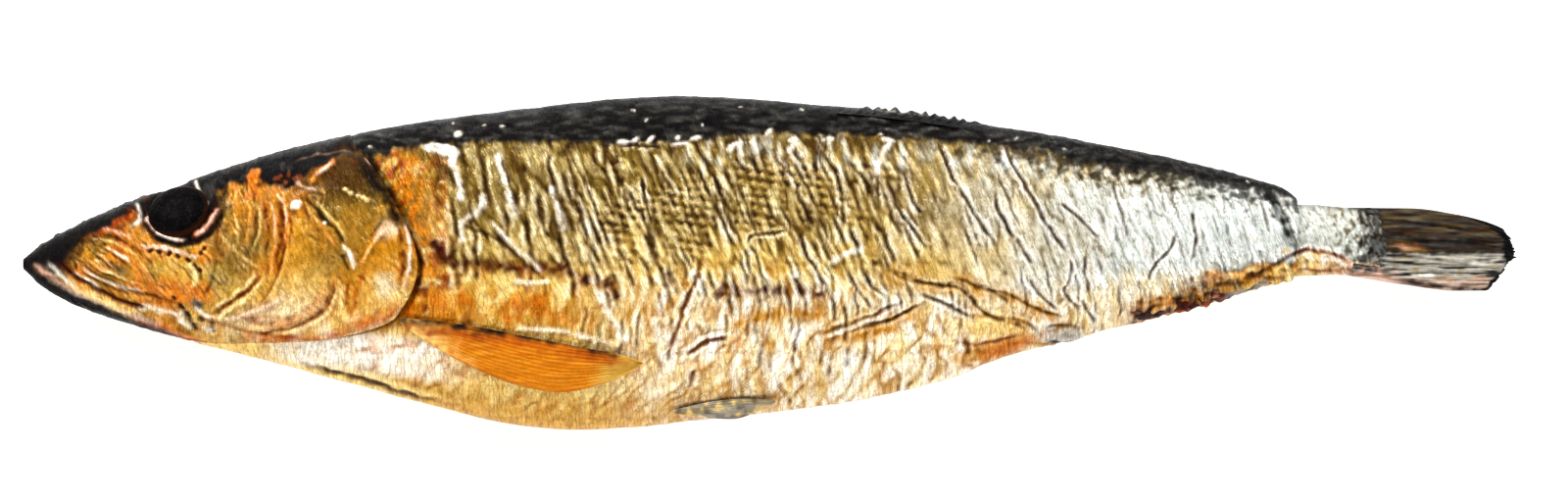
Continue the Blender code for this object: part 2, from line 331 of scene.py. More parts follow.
class Hide:
    """One side's skin laid out flat: relief in millimetres, colour and metal by cell.

    Places are (station, level), with the level in millimetres above the fish's axis."""

    CELL = 0.2  # the side of a cell
    LOW = -31.0  # the lowest level; the highest is as far above the axis
    BEND = 0.22  # how far strokes and spots bend, as if drawn on uneven skin

    def __init__(self, first, last, seed, colours):
        self.first = first
        station = np.arange(first, last, self.CELL)
        level = np.arange(self.LOW, -self.LOW, self.CELL)
        self.station, self.level = np.meshgrid(station, level, indexing="ij")
        self.seed = seed
        self.rng = np.random.default_rng(seed)
        self.colours = colours
        self.relief = np.zeros_like(self.station)
        self.metal = np.zeros_like(self.station)
        self.colour = np.empty(self.station.shape + (3,))
        self.colour[:] = colours["gold"]
        self.bent_station = self.station + self.BEND * self.noise(2.2, 2.2, 1)
        self.bent_level = self.level + self.BEND * self.noise(2.2, 2.2, 2)
        self.rough = self.noise(1.7, 1.7, 3, 2)

    def noise(self, long, tall, seed, layers=1):
        """Noise with swells of the given length and height in millimetres."""
        return layered(self.station / long, self.level / tall, self.seed * 100 + seed, layers)

    def window(self, low, high):
        """The cells between two corners."""
        start = np.array((self.first, self.LOW))
        low = np.floor((low - start) / self.CELL).astype(int)
        high = np.ceil((high - start) / self.CELL).astype(int)
        low, high = np.clip((low, high), 0, self.station.shape)
        return np.s_[low[0] : high[0], low[1] : high[1]]

    def near(self, route, reach):
        """The cells near a route: window, distance, distance to its left and place along it."""
        points = rounded(route)
        window = self.window(points.min(0) - reach, points.max(0) + reach)
        x, y = self.bent_station[window][..., None], self.bent_level[window][..., None]
        if x.size == 0:
            return None
        begin, step = points[:-1], np.diff(points, axis=0)
        size = np.maximum((step**2).sum(1), 1e-9)
        t = np.clip(((x - begin[:, 0]) * step[:, 0] + (y - begin[:, 1]) * step[:, 1]) / size, 0, 1)
        off_x = x - begin[:, 0] - t * step[:, 0]
        off_y = y - begin[:, 1] - t * step[:, 1]
        gap = off_x**2 + off_y**2
        pick = gap.argmin(-1)[..., None]

        def chosen(values):
            return np.take_along_axis(values, pick, -1)[..., 0]

        lengths = np.sqrt(size)
        starts = np.concatenate(((0,), np.cumsum(lengths)[:-1]))
        along = (starts + t * lengths) / lengths.sum()
        side = np.sign(chosen(step[:, 0] * off_y - step[:, 1] * off_x))
        distance = np.sqrt(chosen(gap))
        return window, distance, side * distance, chosen(along)

    def tint(self, window, name, amount):
        """Blend a pigment into the cells of a window."""
        amount = amount[..., None]
        self.colour[window] += amount * (np.array(self.colours[name]) - self.colour[window])

    def paint(self, window, shape, name, amount, metal=None):
        """Paint a shape, and give it more or less metal."""
        if name:
            self.tint(window, name, np.clip(amount * shape, 0, 1))
        if metal is not None:
            self.metal[window] += shape * (metal - self.metal[window])

    def paint_highlight(self, window, amount):
        """Painted highlight: a lighter and slightly paler version of the skin's own colour."""
        colour = self.colour[window]
        light = colour.mean(-1)
        highlit = np.minimum(1, 1.22 * np.sqrt(np.maximum(colour, 0)) + 0.05)
        self.colour[window] += (amount * ease(light, 0.01, 0.2))[..., None] * (highlit - colour)

    def zone(self, name, amount, metal=None):
        """Paint everywhere with an amount for each cell."""
        everywhere = np.s_[:, :]
        amount = np.clip(amount, 0, 1)
        self.tint(everywhere, name, amount)
        if metal is not None:
            self.metal += amount * (metal - self.metal)

    def stroke(self, route, width, name=None, amount=1.0, rise=0.0, lip=0.0, taper=0.25, metal=None):
        """Paint along a route, raise or sink it, and raise a lip on both sides of it, with painted highlight
        on the lip.
        """
        found = self.near(route, 3.2 * width + 0.3)
        if found is None:
            return
        window, distance, _, along = found
        ends = within(along, 0, taper, 1 - taper, 1)
        rough = self.rough[window]
        width = width * (1 + 0.4 * rough)
        ends = ends * np.clip(0.85 + 0.5 * rough, 0, 1)
        shape = np.exp(-((distance / width) ** 2)) * ends
        self.relief[window] += rise * shape
        if lip:
            beside = np.exp(-(((distance - 2.0 * width) / (0.8 * width)) ** 2)) * ends
            self.relief[window] += lip * beside
            # Painted highlight on the lip
            self.paint_highlight(window, np.clip(3.5 * lip * beside, 0, 0.8))
        self.paint(window, shape, name, amount, metal)

    def strokes(self, *marks):
        """Strokes in their order: route, width, colour, amount, rise, lip and taper."""
        for mark in marks:
            self.stroke(*mark)

    def step(self, route, rise, reach, name=None, amount=0.8):
        """A plate's edge: the left of the route stands higher, falling off over the reach, with painted
        shade at its foot.
        """
        found = self.near(route, reach)
        if found is None:
            return
        window, _, side, along = found
        ends = within(along, 0, 0.15, 0.85, 1)
        plate = within(side, -0.15, 0.15, 0.2 * reach, reach)
        self.relief[window] += rise * plate * ends
        # Painted shade along the foot of the plate's edge
        shade = np.exp(-(((side + 0.2) / 0.35) ** 2)) * ends
        self.paint(window, shade, name, amount)

    def spot(
        self, centre, radii, name=None, amount=1.0, rise=0.0, turn=0.0, soft=0.35, metal=None, ragged=0.3,
    ):
        """A blot with a ragged rim: painted, raised or sunk."""
        centre = np.array(centre)
        reach = max(radii) * 1.6
        window = self.window(centre - reach, centre + reach)
        x, y = self.bent_station[window] - centre[0], self.bent_level[window] - centre[1]
        if x.size == 0:
            return
        c, s = math.cos(math.radians(turn)), math.sin(math.radians(turn))
        out = np.hypot((x * c + y * s) / radii[0], (y * c - x * s) / radii[1])
        out = out * (1 + ragged * self.rough[window])
        shape = fall(out, 1 - soft, 1 + soft)
        self.relief[window] += rise * shape
        self.paint(window, shape, name, amount, metal)

    def spots(self, *marks):
        """Spots in their order: centre, radii, colour, amount, rise, turn, softness and metal."""
        for mark in marks:
            self.spot(*mark)

    def comb(self, stations, levels, spacing, lean, length, width, depth, where, jitter=0.35, lip=0.6,
             tints=("crease", 0.5), wobble=0.25):
        """Many creases side by side, each tinted in its groove (crease tint is painted shade) and with
        painted highlight on its lip. They run down the flank, leaning back by lean(level).
        """
        rng = self.rng
        for station in np.arange(*stations, spacing[0]):
            for level in np.arange(*levels, spacing[1]):
                x = station + rng.uniform(-jitter, jitter) * spacing[0]
                y = level + rng.uniform(-0.5, 0.5) * spacing[1]
                size, chance = rng.uniform(*length), rng.uniform()
                wide, deep = rng.uniform(*width), rng.uniform(*depth)
                swing, phase = rng.normal(0, wobble), rng.uniform(0, 6.3)
                if chance > where(x, y):
                    continue
                count = max(3, int(size / 1.3))
                step = size / count
                route = [(x, y)]
                for k in range(count):
                    drift = lean(x, y) + swing * math.sin(phase + 1.1 * k * step)
                    x += step * math.sin(drift)
                    y -= step * math.cos(drift)
                    route.append((x, y))
                # The tint is painted shade in the crease when it is crease, and the lip gets painted
                # highlight
                self.stroke(route, wide, tints[0], tints[1] * min(1, deep / 0.2), -deep, lip * deep)

    def lines(self, across, along, seed, where, depth, name="crease", amount=0.7, crest=0.4, thin=0.11):
        """Long wavy wrinkles down the flank that join and part, tinted along each line (crease by default, a
        painted shade), with painted highlight on the skin between them.
        """
        lean = SLANT * np.clip(self.level, -4, SLANT_TOP) + 0.02 * np.clip(-4 - self.level, 0, 30) ** 2
        x = (self.station + lean) / across + 0.25 * self.noise(5, 5, seed + 5)
        field = layered(x, self.level / along, self.seed * 100 + seed, 2)
        broken = 0.25 + 0.75 * ease(self.noise(3.5, 5, seed + 7, 2), -0.35, 0.25)
        line_shape = np.exp(-((field / thin) ** 2)) * where * broken
        plateau = ease(np.abs(field), 0.25, 0.6) * where
        self.relief += depth * (0.7 * plateau - line_shape)
        # The tint along each line is painted shade where it is crease
        self.zone(name, amount * line_shape)
        # Painted highlight on the raised skin between the lines
        self.paint_highlight(
            np.s_[:, :], np.clip(crest * plateau * (0.7 + 0.6 * self.noise(2.5, 3.5, seed + 9, 2)), 0, 1),
        )

    def paint_shade_and_highlight(self, depth, hollow=0.75, crest=0.5, metal_drop=0.5):
        """Painted shade in the hollows and painted highlight on the crests of the relief; less metal in the
        hollows.
        """
        self.relief *= depth
        level = blurred(self.relief, 14)
        # Painted shade in the hollows, painted highlight on the crests
        sunk = np.clip((level - self.relief) / 0.13, 0, 1)
        highlit = np.clip((self.relief - level) / 0.13, 0, 1)
        everywhere = np.s_[:, :]
        pale = ease(self.colour[..., 2] / (self.colour[..., 0] + 0.01), 0.5, 0.9)[..., None]
        dark = self.colour * (pale * np.array(COOL_SHADE) + (1 - pale) * np.array(WARM_SHADE))
        self.colour += (hollow * sunk)[..., None] * (dark - self.colour)
        self.paint_highlight(everywhere, crest * highlit)
        self.metal *= 1 - metal_drop * sunk

    def read(self, values, station, level):
        """Values at places, straight between cells."""
        x = np.clip((station - self.first) / self.CELL, 0, values.shape[0] - 1.001)
        y = np.clip((level - self.LOW) / self.CELL, 0, values.shape[1] - 1.001)
        i, j = x.astype(int), y.astype(int)
        u, v = x - i, y - j
        if values.ndim == 3:
            u, v = u[..., None], v[..., None]
        near = values[i, j] * (1 - u) + values[i + 1, j] * u
        far = values[i, j + 1] * (1 - u) + values[i + 1, j + 1] * u
        return near * (1 - v) + far * v


# What is on the head. Routes are (station, level); the widths and rises are millimetres.


def paint_head(hide):
    """Ground colours of the head, its black top and the rims of the jaw."""
    s, y = hide.station, hide.level
    back = line(BACK_LINE, s)
    belly = line(BELLY_LINE, s)
    wave = hide.noise(5, 4, 10, 2)
    fine = hide.noise(1.6, 1.6, 12, 2)
    patch = hide.noise(3.2, 4.5, 19, 3)
    # From the cheek outwards
    hide.zone("amber", 0.75 + 0.3 * wave, 0.2)
    hide.zone("ochre", 0.55 + 0.9 * patch, 0.2)
    hide.zone("olive", 0.5 * ease(patch, 0.15, 0.6), 0.25)
    hide.zone("rust", 0.35 * ease(-patch, 0.25, 0.8), 0.15)
    hide.zone("gold", ease(-y + 0.12 * (s - 40), 2, 9) * (0.5 + 0.5 * wave), 0.3)
    hide.zone(
        "cream", ease(-y + 0.28 * (s - 55) + fine, 5.5, 10) * ease(s, 28, 36) * (0.8 + 0.4 * wave), 0.2,
    )
    hide.zone(
        "glint", 0.55 * ease(-y + 0.28 * (s - 55), 7, 12) * ease(s, 34, 42) * ease(patch, -0.2, 0.4), 0.2,
    )
    hide.spots(
        ((39.1, 1), (9.5, 3.6), "olive", 0.75, 0.0, 60, 0.7),
        ((35.7, 5.6), (2.2, 6.5), "olive", 0.5, 0.0, 0.0, 0.7),
        ((31.1, -2.9), (5.0, 1.8), "gold", 0.7, 0.0, 10, 0.7),
        ((32.8, -5.4), (3.5, 1.6), "amber", 0.8, 0.0, -20, 0.6),
        ((50.4, 1), (3.5, 6.5), "ochre", 0.9, 0.0, 15, 0.7),
        ((50.4, -3.7), (4.5, 3.0), "cream", 0.7, 0.0, 30, 0.7),
        ((44.8, -8.5), (9.0, 2.2), "glint", 0.35, 0.0, 12, 0.8),
        ((51, 7.3), (3.5, 5.0), "ochre", 0.7, 0.0, 15, 0.8),
        ((52.4, 1), (3.6, 5.5), "gold", 0.45, 0.0, 15, 0.8),
        ((58.1, 8.2), (7.5, 11.0), "olive", 1.0, 0.0, -20, 0.45, 0.3),
        ((59.1, 5.7), (4.2, 5.0), "ochre", 0.5, 0.0, -20, 0.8),
        ((57.5, 15.3), (7.5, 4.6), "crease", 0.9, 0.0, 8, 0.6),
        ((64.6, 3.2), (2.6, 6.0), "ochre", 0.8, 0.0, -12, 0.6),
        ((61.2, -4.8), (5.0, 6.5), "ochre", 0.8, 0.0, -25, 0.7),
        ((64, -4.8), (2.8, 3.4), "cream", 0.6, 0.0, 0.0, 0.9, 0.3),
        ((64.3, -3.9), (1.5, 2.0), "silver", 0.4, 0.0, 0.0, 0.9, 0.4),
        ((50.1, 4.5), (4.0, 5.0), "ochre", 0.6, 0.0, 0.0, 0.7),
        ((64.9, 5.7), (1.6, 1.6), "glint", 0.45, 0.0, 0.0, 0.6),
        ((27.2, -0.6), (3.5, 1.6), "gold", 0.7, 0.0, 0.0, 0.7),
        ((26, -5.4), (3.6, 2.2), "amber", 0.9, 0.0, 0.0, 0.7),
        ((17.2, -0.9), (2.3, 1.1), "slate", 0.5, 0.0, -20, 0.7),
        ((38.8, -5.4), (6, 2.2), "gold", 0.8, 0.0, 20, 0.7),
    )
    hide.zone("blush", ease(-y - 0.46 * s, -0.8, 0.8) * fall(s, 20, 32), 0.15)
    hide.zone("ash", 0.6 * ease(-y - 0.46 * s + fine, -0.8, 1.0) * fall(s, 14, 32), 0.1)
    # Black top of the head and snout, with browner skin under it
    top = line(
        ((0, 0), (5.6, 0.3), (9, 1.9), (11.6, 4.6), (15, 6.5), (21.8, 10.4), (26.9, 13.3), (35.4, 12.9),
            (40.5, 14.1), (47.3, 13.3), (52.4, 15.7), (57.5, 19.1), (64.3, 18.4)), s,
    )
    hide.zone("crease", 0.85 * ease(y + 3 * fine, top - 5.5, top - 0.5) * fall(s, 24, 30), 0.1)
    hide.spot((16.3, 7.1), (4.6, 1.5), "rust", 0.8, turn=25, soft=0.6)
    hide.zone("smoke", ease(y + 1.1 * wave + 0.8 * fine, top - 0.7, top + 0.7), 0.0)
    hide.zone("smoke", fall(s + 2.2 * fine, 6.0, 10.5) * ease(y + 0.36 * s, -0.8, 0.8), 0.0)
    hide.zone("smoke", fall(s + 0.4 * fine, 1.0, 2.6), 0.0)
    hide.zone("slate", ease(y - back, -1.6, -0.4) * (0.3 + 0.5 * fine))
    for x, level in hide.rng.uniform((0, 0), (60, 1), (60, 2)):
        edge, ridge = line(((0, 2.2), (21.8, 10.7), (47.3, 13.3), (64.3, 18.4)), x), line(BACK_LINE, x)
        place = np.array((x, edge + level * (ridge - edge)))
        hide.spot(
            place, hide.rng.uniform(0.25, 0.8, 2), "rust" if level < 0.3 and x > 22 else "slate", 0.45, 0.1,
        )
    # Lower rim of the jaw: black along its lower edge, a painted shadow, and rust on the rim behind it
    hide.zone("smoke", fall(y - belly + 0.45 * fine, 1.6, 2.7) * fall(s, 24, 33), 0.0)
    hide.zone("rust", fall(y - belly + 0.35 * fine, 0.7, 1.8) * ease(s, 24, 30) * 0.9, 0.0)


def draw_snout(hide):
    """Lips, jaw plates, folds of the snout and a nostril with a white rim."""
    hide.strokes(
        (((1.9, 0.2), (3.1, -0.9), (5.9, -2.3), (7.3, -2.3)), 0.5, "blush", 0.8, 0.1),
        (((4.5, 0.7), (6.2, -0.9), (8.2, -3.2), (11, -4.3)), 0.4, "glint", 0.6, 0.12),
        (((8.2, -3.5), (12.4, -5.2), (17, -7.4), (21.5, -9.7)), 0.7, "cream", 0.7, 0.2),
        (((17, -7.4), (21.5, -9.4), (25.8, -10.8)), 0.5, "blush", 0.7, 0.1),
        (((22.9, -9.7), (27.2, -11.4), (31.4, -13.1)), 0.6, "amber", 0.9, 0.1),
        (((18.7, -8.8), (22.9, -10.8), (27.2, -12.3)), 0.35, "rust", 0.8, -0.1),
        (((20.4, -7.3), (23.5, -7.9), (27.2, -8.6)), 0.5, "glint", 0.75, 0.15),
    )
    hide.step(
        ((23.5, -8), (20.4, -7.4), (17, -6.3), (14.1, -4.6), (11, -3.3), (8.5, -1.2), (5.3, 0.8)), 0.45,
        3.5, "blood", 0.95,
    )
    hide.stroke(
        ((5.3, 0.8), (8.5, -1.2), (11, -3.5), (14.1, -4.7), (17, -6.4), (20.4, -7.5), (23.8, -8.1)), 0.28,
        "blood", 0.9, -0.3,
    )
    # Raised folds of the snout; the glint ones carry painted highlight
    for route, wide, colour, amount in (
        (((9.2, -1.3), (11.3, -2.5), (13, -3.7), (14.7, -4.7)), 0.34, "glint", 0.85),
        (((10.9, 0.1), (12.4, -1.8), (14.7, -3), (18.1, -4.2), (22.9, -5)), 0.34, "glint", 0.9),
        (((11, 1.6), (13, -0.1), (15.8, -1.8), (19.8, -3.2), (23.2, -4.3)), 0.3, "cream", 0.8),
        (((15, 2.8), (17, 1.9), (19.2, 0.8), (20.2, -0.5)), 0.32, "glint", 0.8),
        (((12.1, 4.2), (15.8, 3.9), (19.8, 2.2), (22.3, -0.6), (23.8, -3.5)), 0.34, "gold", 0.8),
        (((14.1, 6.2), (17.5, 5.3), (20.9, 3.9)), 0.4, "blush", 0.6),
        (((16.4, 5.6), (19.8, 4.2), (23.2, 1.6), (24.3, -0.9)), 0.34, "amber", 0.9),
        (((13, 0.8), (14.7, -0.6), (17, -2.3)), 0.26, "cream", 0.6),
    ):
        hide.stroke(route, 0.75 * wide, colour, 0.85 * amount, 0.16)
    # Painted shade in the grooves of the snout
    for route, wide, amount in (
        (((10.2, -0.6), (12.1, -2.3), (14.7, -3.7), (18.1, -5), (21.5, -5.6)), 0.22, 0.7),
        (((11.3, 0.8), (13.6, -1), (16.4, -2.5), (20.4, -3.6)), 0.2, 0.55),
        (((13.6, 3.3), (16.4, 1.6), (19.2, -0.1), (20.4, -1.8)), 0.22, 0.6),
        (((15.8, 0.5), (17, -0.6), (18.7, -1.8)), 0.25, 0.6),
        (((9.9, 5.3), (10.7, 4.2), (11.9, 3.3)), 0.3, 0.8),
        (((13, 5), (16.4, 4.8), (19.8, 3.1), (22.9, 0.5)), 0.24, 0.6),
    ):
        hide.stroke(route, wide, "crease", 0.9 * amount, -0.16)
    hide.spot((19.5, 8.7), (0.95, 1.3), "rust", 0.9, -0.2)
    hide.spot((19.7, 8.5), (0.5, 0.8), "amber", 1.0)
    hide.stroke(((19.9, 10.7), (20.9, 9.7), (21.6, 8.2), (21.2, 6.9), (19.5, 6.2)), 0.3, "glint", 1.0, 0.25)
    hide.stroke(((21.5, 11.4), (23.2, 10.4), (22.3, 9)), 0.35, "smoke", 0.9, -0.1)


def draw_eye_socket(hide):
    """A sunk black socket with pale and rusty lids."""
    eye = (28.1, 8.7)
    hide.spots(
        ((30.8, 10.5), (5.6, 6.3), "smoke", 0.95, 0.0, 0.0, 0.3),
        (eye, (6.9, 6.0), "smoke", 1.0, -0.25, 0.0, 0.12, None, 0.0),
        (eye, (5.8, 5.0), None, 0, -0.5, 0.0, 0.2, None, 0.0),
    )
    hide.strokes(
        (
            ((23.3, 9), (22.4, 8), (23, 6.8), (24.3, 5.3), (26.6, 4.3), (28.6, 3.8), (29.9, 4.1)), 0.42,
            "blush", 1.0, 0.4, 0.0, 0.12,
        ),
        (((23.5, 6.5), (24.9, 5), (26.9, 4.1), (28.9, 3.6)), 0.22, "glint", 0.7, 0.1),
        (((30.3, 4.5), (32.3, 5.6), (34, 7.6), (35.3, 9.9)), 0.62, "rust", 1.0, 0.35, 0.0, 0.15),
        (((30.9, 4.6), (32.8, 6), (34.4, 8), (35.3, 9.7)), 0.35, "blush", 0.85, 0.1, 0.0, 0.15),
        # Painted highlight on the upper right of the eye's ring
        (((30.5, 14.5), (31.4, 12.7), (32.3, 11.4), (33.1, 10.1)), 0.3, "glint", 1.0, 0.2, 0.0, 0.1),
        (
            ((23.1, 5.3), (25.8, 3.6), (28.9, 2.9), (31.7, 3.6), (34, 5.2), (35.5, 7.3), (36.4, 9.6)), 0.55,
            "smoke", 1.0, -0.3, 0.0, 0.12,
        ),
    )
    hide.spot((33.3, 12.4), (1.1, 1.8), "slate", 0.6)


def draw_cheek(hide):
    """Specks and plates below the eye, the joint of the jaw, and the plates behind them."""
    for place in (
        (23.4, 2.1), (24.9, 1.9), (26.7, 1.6), (28.3, 1.2), (30, 0.5), (31.1, -0.6), (31.8, -1.3),
        (32.8, 2.5), (32.3, 1.6),
    ):
        hide.spot(place, (0.55, 0.4), "blood", 0.85, -0.25, turn=hide.rng.uniform(-60, 60))
    for place in ((22.6, 2.8), (24.3, 2.8), (25.8, 2.5), (27.7, 2.1), (29.2, 1.6), (30.9, 1.2)):
        hide.spot(place, (0.8, 0.35), "blush", 0.75, 0.15, turn=-15)
    hide.strokes(
        (((29.7, 0.2), (31.1, -1.2), (31.5, -2.9), (30.6, -4.7)), 0.4, "cream", 0.9, 0.25),
        (((31.4, -0.1), (32.1, -1.8), (32.2, -3.5)), 0.35, "crease", 0.8, -0.2),
        (((20.9, 0.5), (23.2, -2.9), (24.3, -4.9)), 0.4, "amber", 0.8, 0.1),
        (((32.3, 0.5), (33.7, -1.2), (34.5, -4), (35.7, -6)), 0.4, "olive", 0.8, 0.15),
    )
    # Joint of the jaw
    for place, size in zip(
        ((27.2, -6), (28.4, -7.6), (29.6, -9.1), (30.7, -10.7), (32, -9.7), (33.8, -10.3), (34, -11.1)),
        (0.5, 0.6, 0.6, 0.7, 0.5, 0.5, 0.6),
    ):
        hide.spot(place, (size, size * 0.6), "blood", 1.0, -0.3, turn=-50)
    hide.spot((31.4, -7.1), (1.0, 0.8), "slate", 0.9)
    # Raised marks at the joint, with painted highlight
    for route in (
        ((28, -9.1), (29.2, -10.4), (30.3, -11.1)),
        ((30.9, -7.1), (32.3, -8.8), (34.3, -9.7)),
        ((32.3, -10.5), (33.1, -11.4), (34.5, -10.8)),
        ((26, -8), (28.3, -9), (28.9, -8)),
    ):
        hide.stroke(route, 0.35, "glint", 0.8, 0.3)
    hide.stroke(((28.4, -7.4), (29.3, -9), (30.6, -10.4)), 0.35, "smoke", 0.9, -0.35)
    # Cheek plates between the eye and the gill cover
    for route, wide, colour, amount in (
        (((44.8, 12.8), (46.7, 10.6), (47.4, 8.2), (47.2, 4.5), (46.7, 1.4)), 0.55, "amber", 1.0),
        (
            ((43.6, 11.6), (45.1, 9.4), (45.5, 6.3), (45.2, 2.6), (44.6, -1.1), (44.2, -3.3)), 0.6, "amber",
            0.95,
        ),
        # Painted highlight along the crests of the plates
        (((45.1, 12.2), (46.8, 10.2), (47.3, 8.2), (47.1, 5.1)), 0.22, "glint", 0.55),
        (((43.9, 11), (45.1, 8.8), (45.4, 6.3), (45.1, 3.2)), 0.22, "glint", 0.4),
        (((39.6, 12.5), (40.8, 8.8), (40.5, 4.5), (39.6, 2)), 0.5, "amber", 0.7),
        (((41.7, 11.3), (42.7, 8.2), (42.4, 4.5), (41.1, 2)), 0.4, "gold", 0.8),
        (((38, 8.8), (39, 5.7), (38.6, 2.6)), 0.4, "gold", 0.7),
        (((36.5, 4.5), (38.3, 2), (40.5, 0.1), (43.3, -1.1)), 0.4, "gold", 0.6),
    ):
        hide.stroke(route, 0.7 * wide, colour, 0.85 * amount, 0.2)
    for route, wide, amount in (
        (((45.9, 11.6), (46.4, 8.8), (46.3, 5.1), (45.8, 2), (45.3, -1.7)), 0.4, 0.85),
        (((42.8, 11.6), (43.9, 8.5), (44.1, 5.1), (43.3, 0.7)), 0.35, 0.6),
        (((47.8, 8.8), (48.1, 5.7), (47.6, 2)), 0.35, 0.6),
        (((36.5, 0.1), (34.9, 3.2), (35.2, 6.9)), 0.5, 0.4),
    ):
        hide.stroke(route, wide, "rust", amount, -0.2)
    hide.step(((47.6, 8.5), (47.5, 4.5), (46.8, 0.7), (45.1, -4.2), (42.7, -7)), 0.35, 6)
    hide.spots(
        ((41.1, 14.5), (1.2, 1.4), "amber", 0.9, 0.2),
        ((41.3, 11.9), (1.6, 1.0), "amber", 0.8, 0.1),
        ((48.9, 9.9), (1.0, 0.8), "glint", 1.0, 0.35),
    )
    hide.strokes(
        (((48.4, 14.2), (50.1, 12.8), (52.7, 12.1)), 0.5, "blush", 0.65, 0.3),
        (((55.8, 17.9), (54, 16.3), (52.1, 14.7), (51.3, 13)), 0.45, "amber", 1.0, 0.3),
        (((55.3, 17.1), (53.5, 15.6), (51.9, 14.4)), 0.2, "glint", 0.6, 0.1),
    )


def draw_gill_cover(hide):
    """The ridge across it with its light V, its fine ribs and its rims."""
    hide.strokes(
        # The ridge's crease line is painted shade and its glint lines painted highlight
        (((48.9, 12.2), (51.3, 10.3), (53.8, 7.7), (56.3, 4.9), (58, 2)), 0.42, "crease", 0.95, -0.35),
        (((51.9, 11.1), (54.4, 8.2), (56.6, 5.7), (58.1, 3.2)), 0.3, "gold", 0.95, 0.3),
        (((50.7, 9.6), (52.9, 6.9), (55, 4.1), (56.6, 2)), 0.3, "amber", 0.8, 0.15),
        (((56.7, 3.5), (58.1, 2), (59.1, 0.1), (58.9, -1.5)), 0.38, "glint", 0.9, 0.35),
        (((56.3, 1.7), (57.5, 0.1), (58.3, -1.4)), 0.3, "smoke", 0.7, -0.25),
    )
    hide.spot((54, 6.9), (0.35, 0.35), "glint", 0.9, 0.2)
    hide.strokes(
        (((59.8, -1.1), (61.2, 2), (63.1, 4.5), (64.9, 6.9)), 0.45, "amber", 0.9, 0.3),
        (((60.5, 0.1), (61.8, 2.6), (63.7, 4.9)), 0.22, "gold", 1.0, 0.15),
        (((61.5, 3.8), (63.1, 6), (64.6, 8.2)), 0.25, "slate", 0.6, -0.1),
        (((62.2, 3.2), (63.7, 5.1), (65.2, 6.3)), 0.25, "glint", 0.5, 0.1),
    )
    for place in ((57.5, 12.3), (58.3, 11.8), (59.7, 11.3), (60.5, 10.9), (61.2, 10.6)):
        hide.spot(place, (0.45, 0.3), "cream", 0.8, 0.2)
    hide.stroke(((64.6, 10), (64.3, 8.5), (65.2, 7.5)), 0.4, "gold", 0.8, 0.1)
    hide.stroke(((61.2, 0.1), (60, -3), (59.1, -6.1), (58.1, -9.5)), 0.5, "amber", 0.6, -0.12)
    # Curves along the lower gill cover, and fine ribs between them
    for route, wide, colour, amount, rise in (
        (((54, -2.2), (53.3, -6.1), (50.2, -9.2), (45.1, -10.7), (38, -11.5)), 0.35, "amber", 0.8, 0.22),
        (((55, -1.7), (54.7, -6.1), (51.9, -9.5), (46.4, -11.5), (39.6, -12.1)), 0.3, "rust", 0.6, -0.2),
        (((56.6, -1.7), (56, -5.4), (54, -9.2), (50.1, -10.9), (44.2, -12.2)), 0.35, "cream", 0.9, 0.22),
        (((55.7, -2.4), (55.4, -5.4), (53.3, -8.7), (50.1, -10.4)), 0.25, "rust", 0.7, -0.15),
        (((57, -3), (56.6, -7.6), (57.3, -9.8)), 0.5, "cream", 0.95, 0.2),
        (((58.1, -2.4), (57.7, -6.1), (58.3, -9.2)), 0.35, "amber", 0.7, -0.15),
        (((47.6, -3.9), (46.4, -6.1), (42.7, -7.9), (38, -9.5), (34, -10.1)), 0.4, "blush", 0.6, 0.2),
    ):
        hide.stroke(route, wide, colour, amount, rise)
    for k in range(26):
        t = k / 25
        inner = np.array(
            (line(((0, 38.5), (0.5, 46.5), (1, 56.5)), t), line(((0, -8.8), (0.5, -8.6), (1, -1.0)), t))
        )
        outer = np.array(
            (line(((0, 41.5), (0.5, 50.5), (1, 60.5)), t), line(((0, -10.8), (0.5, -11.6), (1, -6.0)), t))
        )
        hide.stroke((inner, (inner + outer) / 2 + 0.2, outer), 0.16, "rust", 0.55, -0.1)
    hide.stroke(
        ((33.2, -9.5), (36.5, -7.3), (39.6, -5.4), (42, -3), (43.4, -1.1)), 0.4, "rust", 0.95, -0.3, 0.15,
    )
    hide.stroke(((34, -10.4), (37.4, -7.9), (40.5, -6.1), (42.7, -4.2)), 0.35, "cream", 0.8, 0.2)
    # Rims of the gill cover
    hide.strokes(
        (
            ((67.7, -5.1), (66.2, -7.9), (63.7, -9.4), (60, -10.6), (56.9, -11.3), (54.4, -12.5),
                (50.1, -12.6), (44.2, -12.6), (37.7, -12.3)), 0.75, "rust", 0.95, 0.15, 0.0, 0.12,
        ),
        (((66.6, -6.1), (63.7, -8.7), (60, -9.9), (56.9, -10.5)), 0.5, "amber", 0.7),
        (
            ((67.3, 7.7), (68.5, 4.5), (68.7, 0.7), (68, -3), (67.5, -5.1)), 0.3, "blush", 1.0, 0.15, 0.0,
            0.15,
        ),
        (((66.5, 6.6), (67.6, 3.2), (67.7, 0.1), (67, -3)), 0.3, "blood", 0.8, -0.1, 0.0, 0.15),
        (((67.6, 6.9), (68.6, 3.8), (68.7, 0.4), (67.9, -2.7)), 0.16, "glint", 0.8, 0.1),
        (
            ((60, 18.8), (61.5, 15.6), (63.4, 12.8), (65.2, 9.7), (66.6, 7.7), (67.6, 5.7)), 1.5, "smoke",
            1.0, -0.1, 0.0, 0.06,
        ),
        (((66.5, 7.2), (67.3, 3.2), (67.1, -1.1), (66.8, -3.9)), 0.35, "rust", 0.7, -0.15),
        (((60.5, 18.1), (61.2, 17.1), (62.5, 16.5)), 0.35, "blush", 0.7, 0.15),
    )
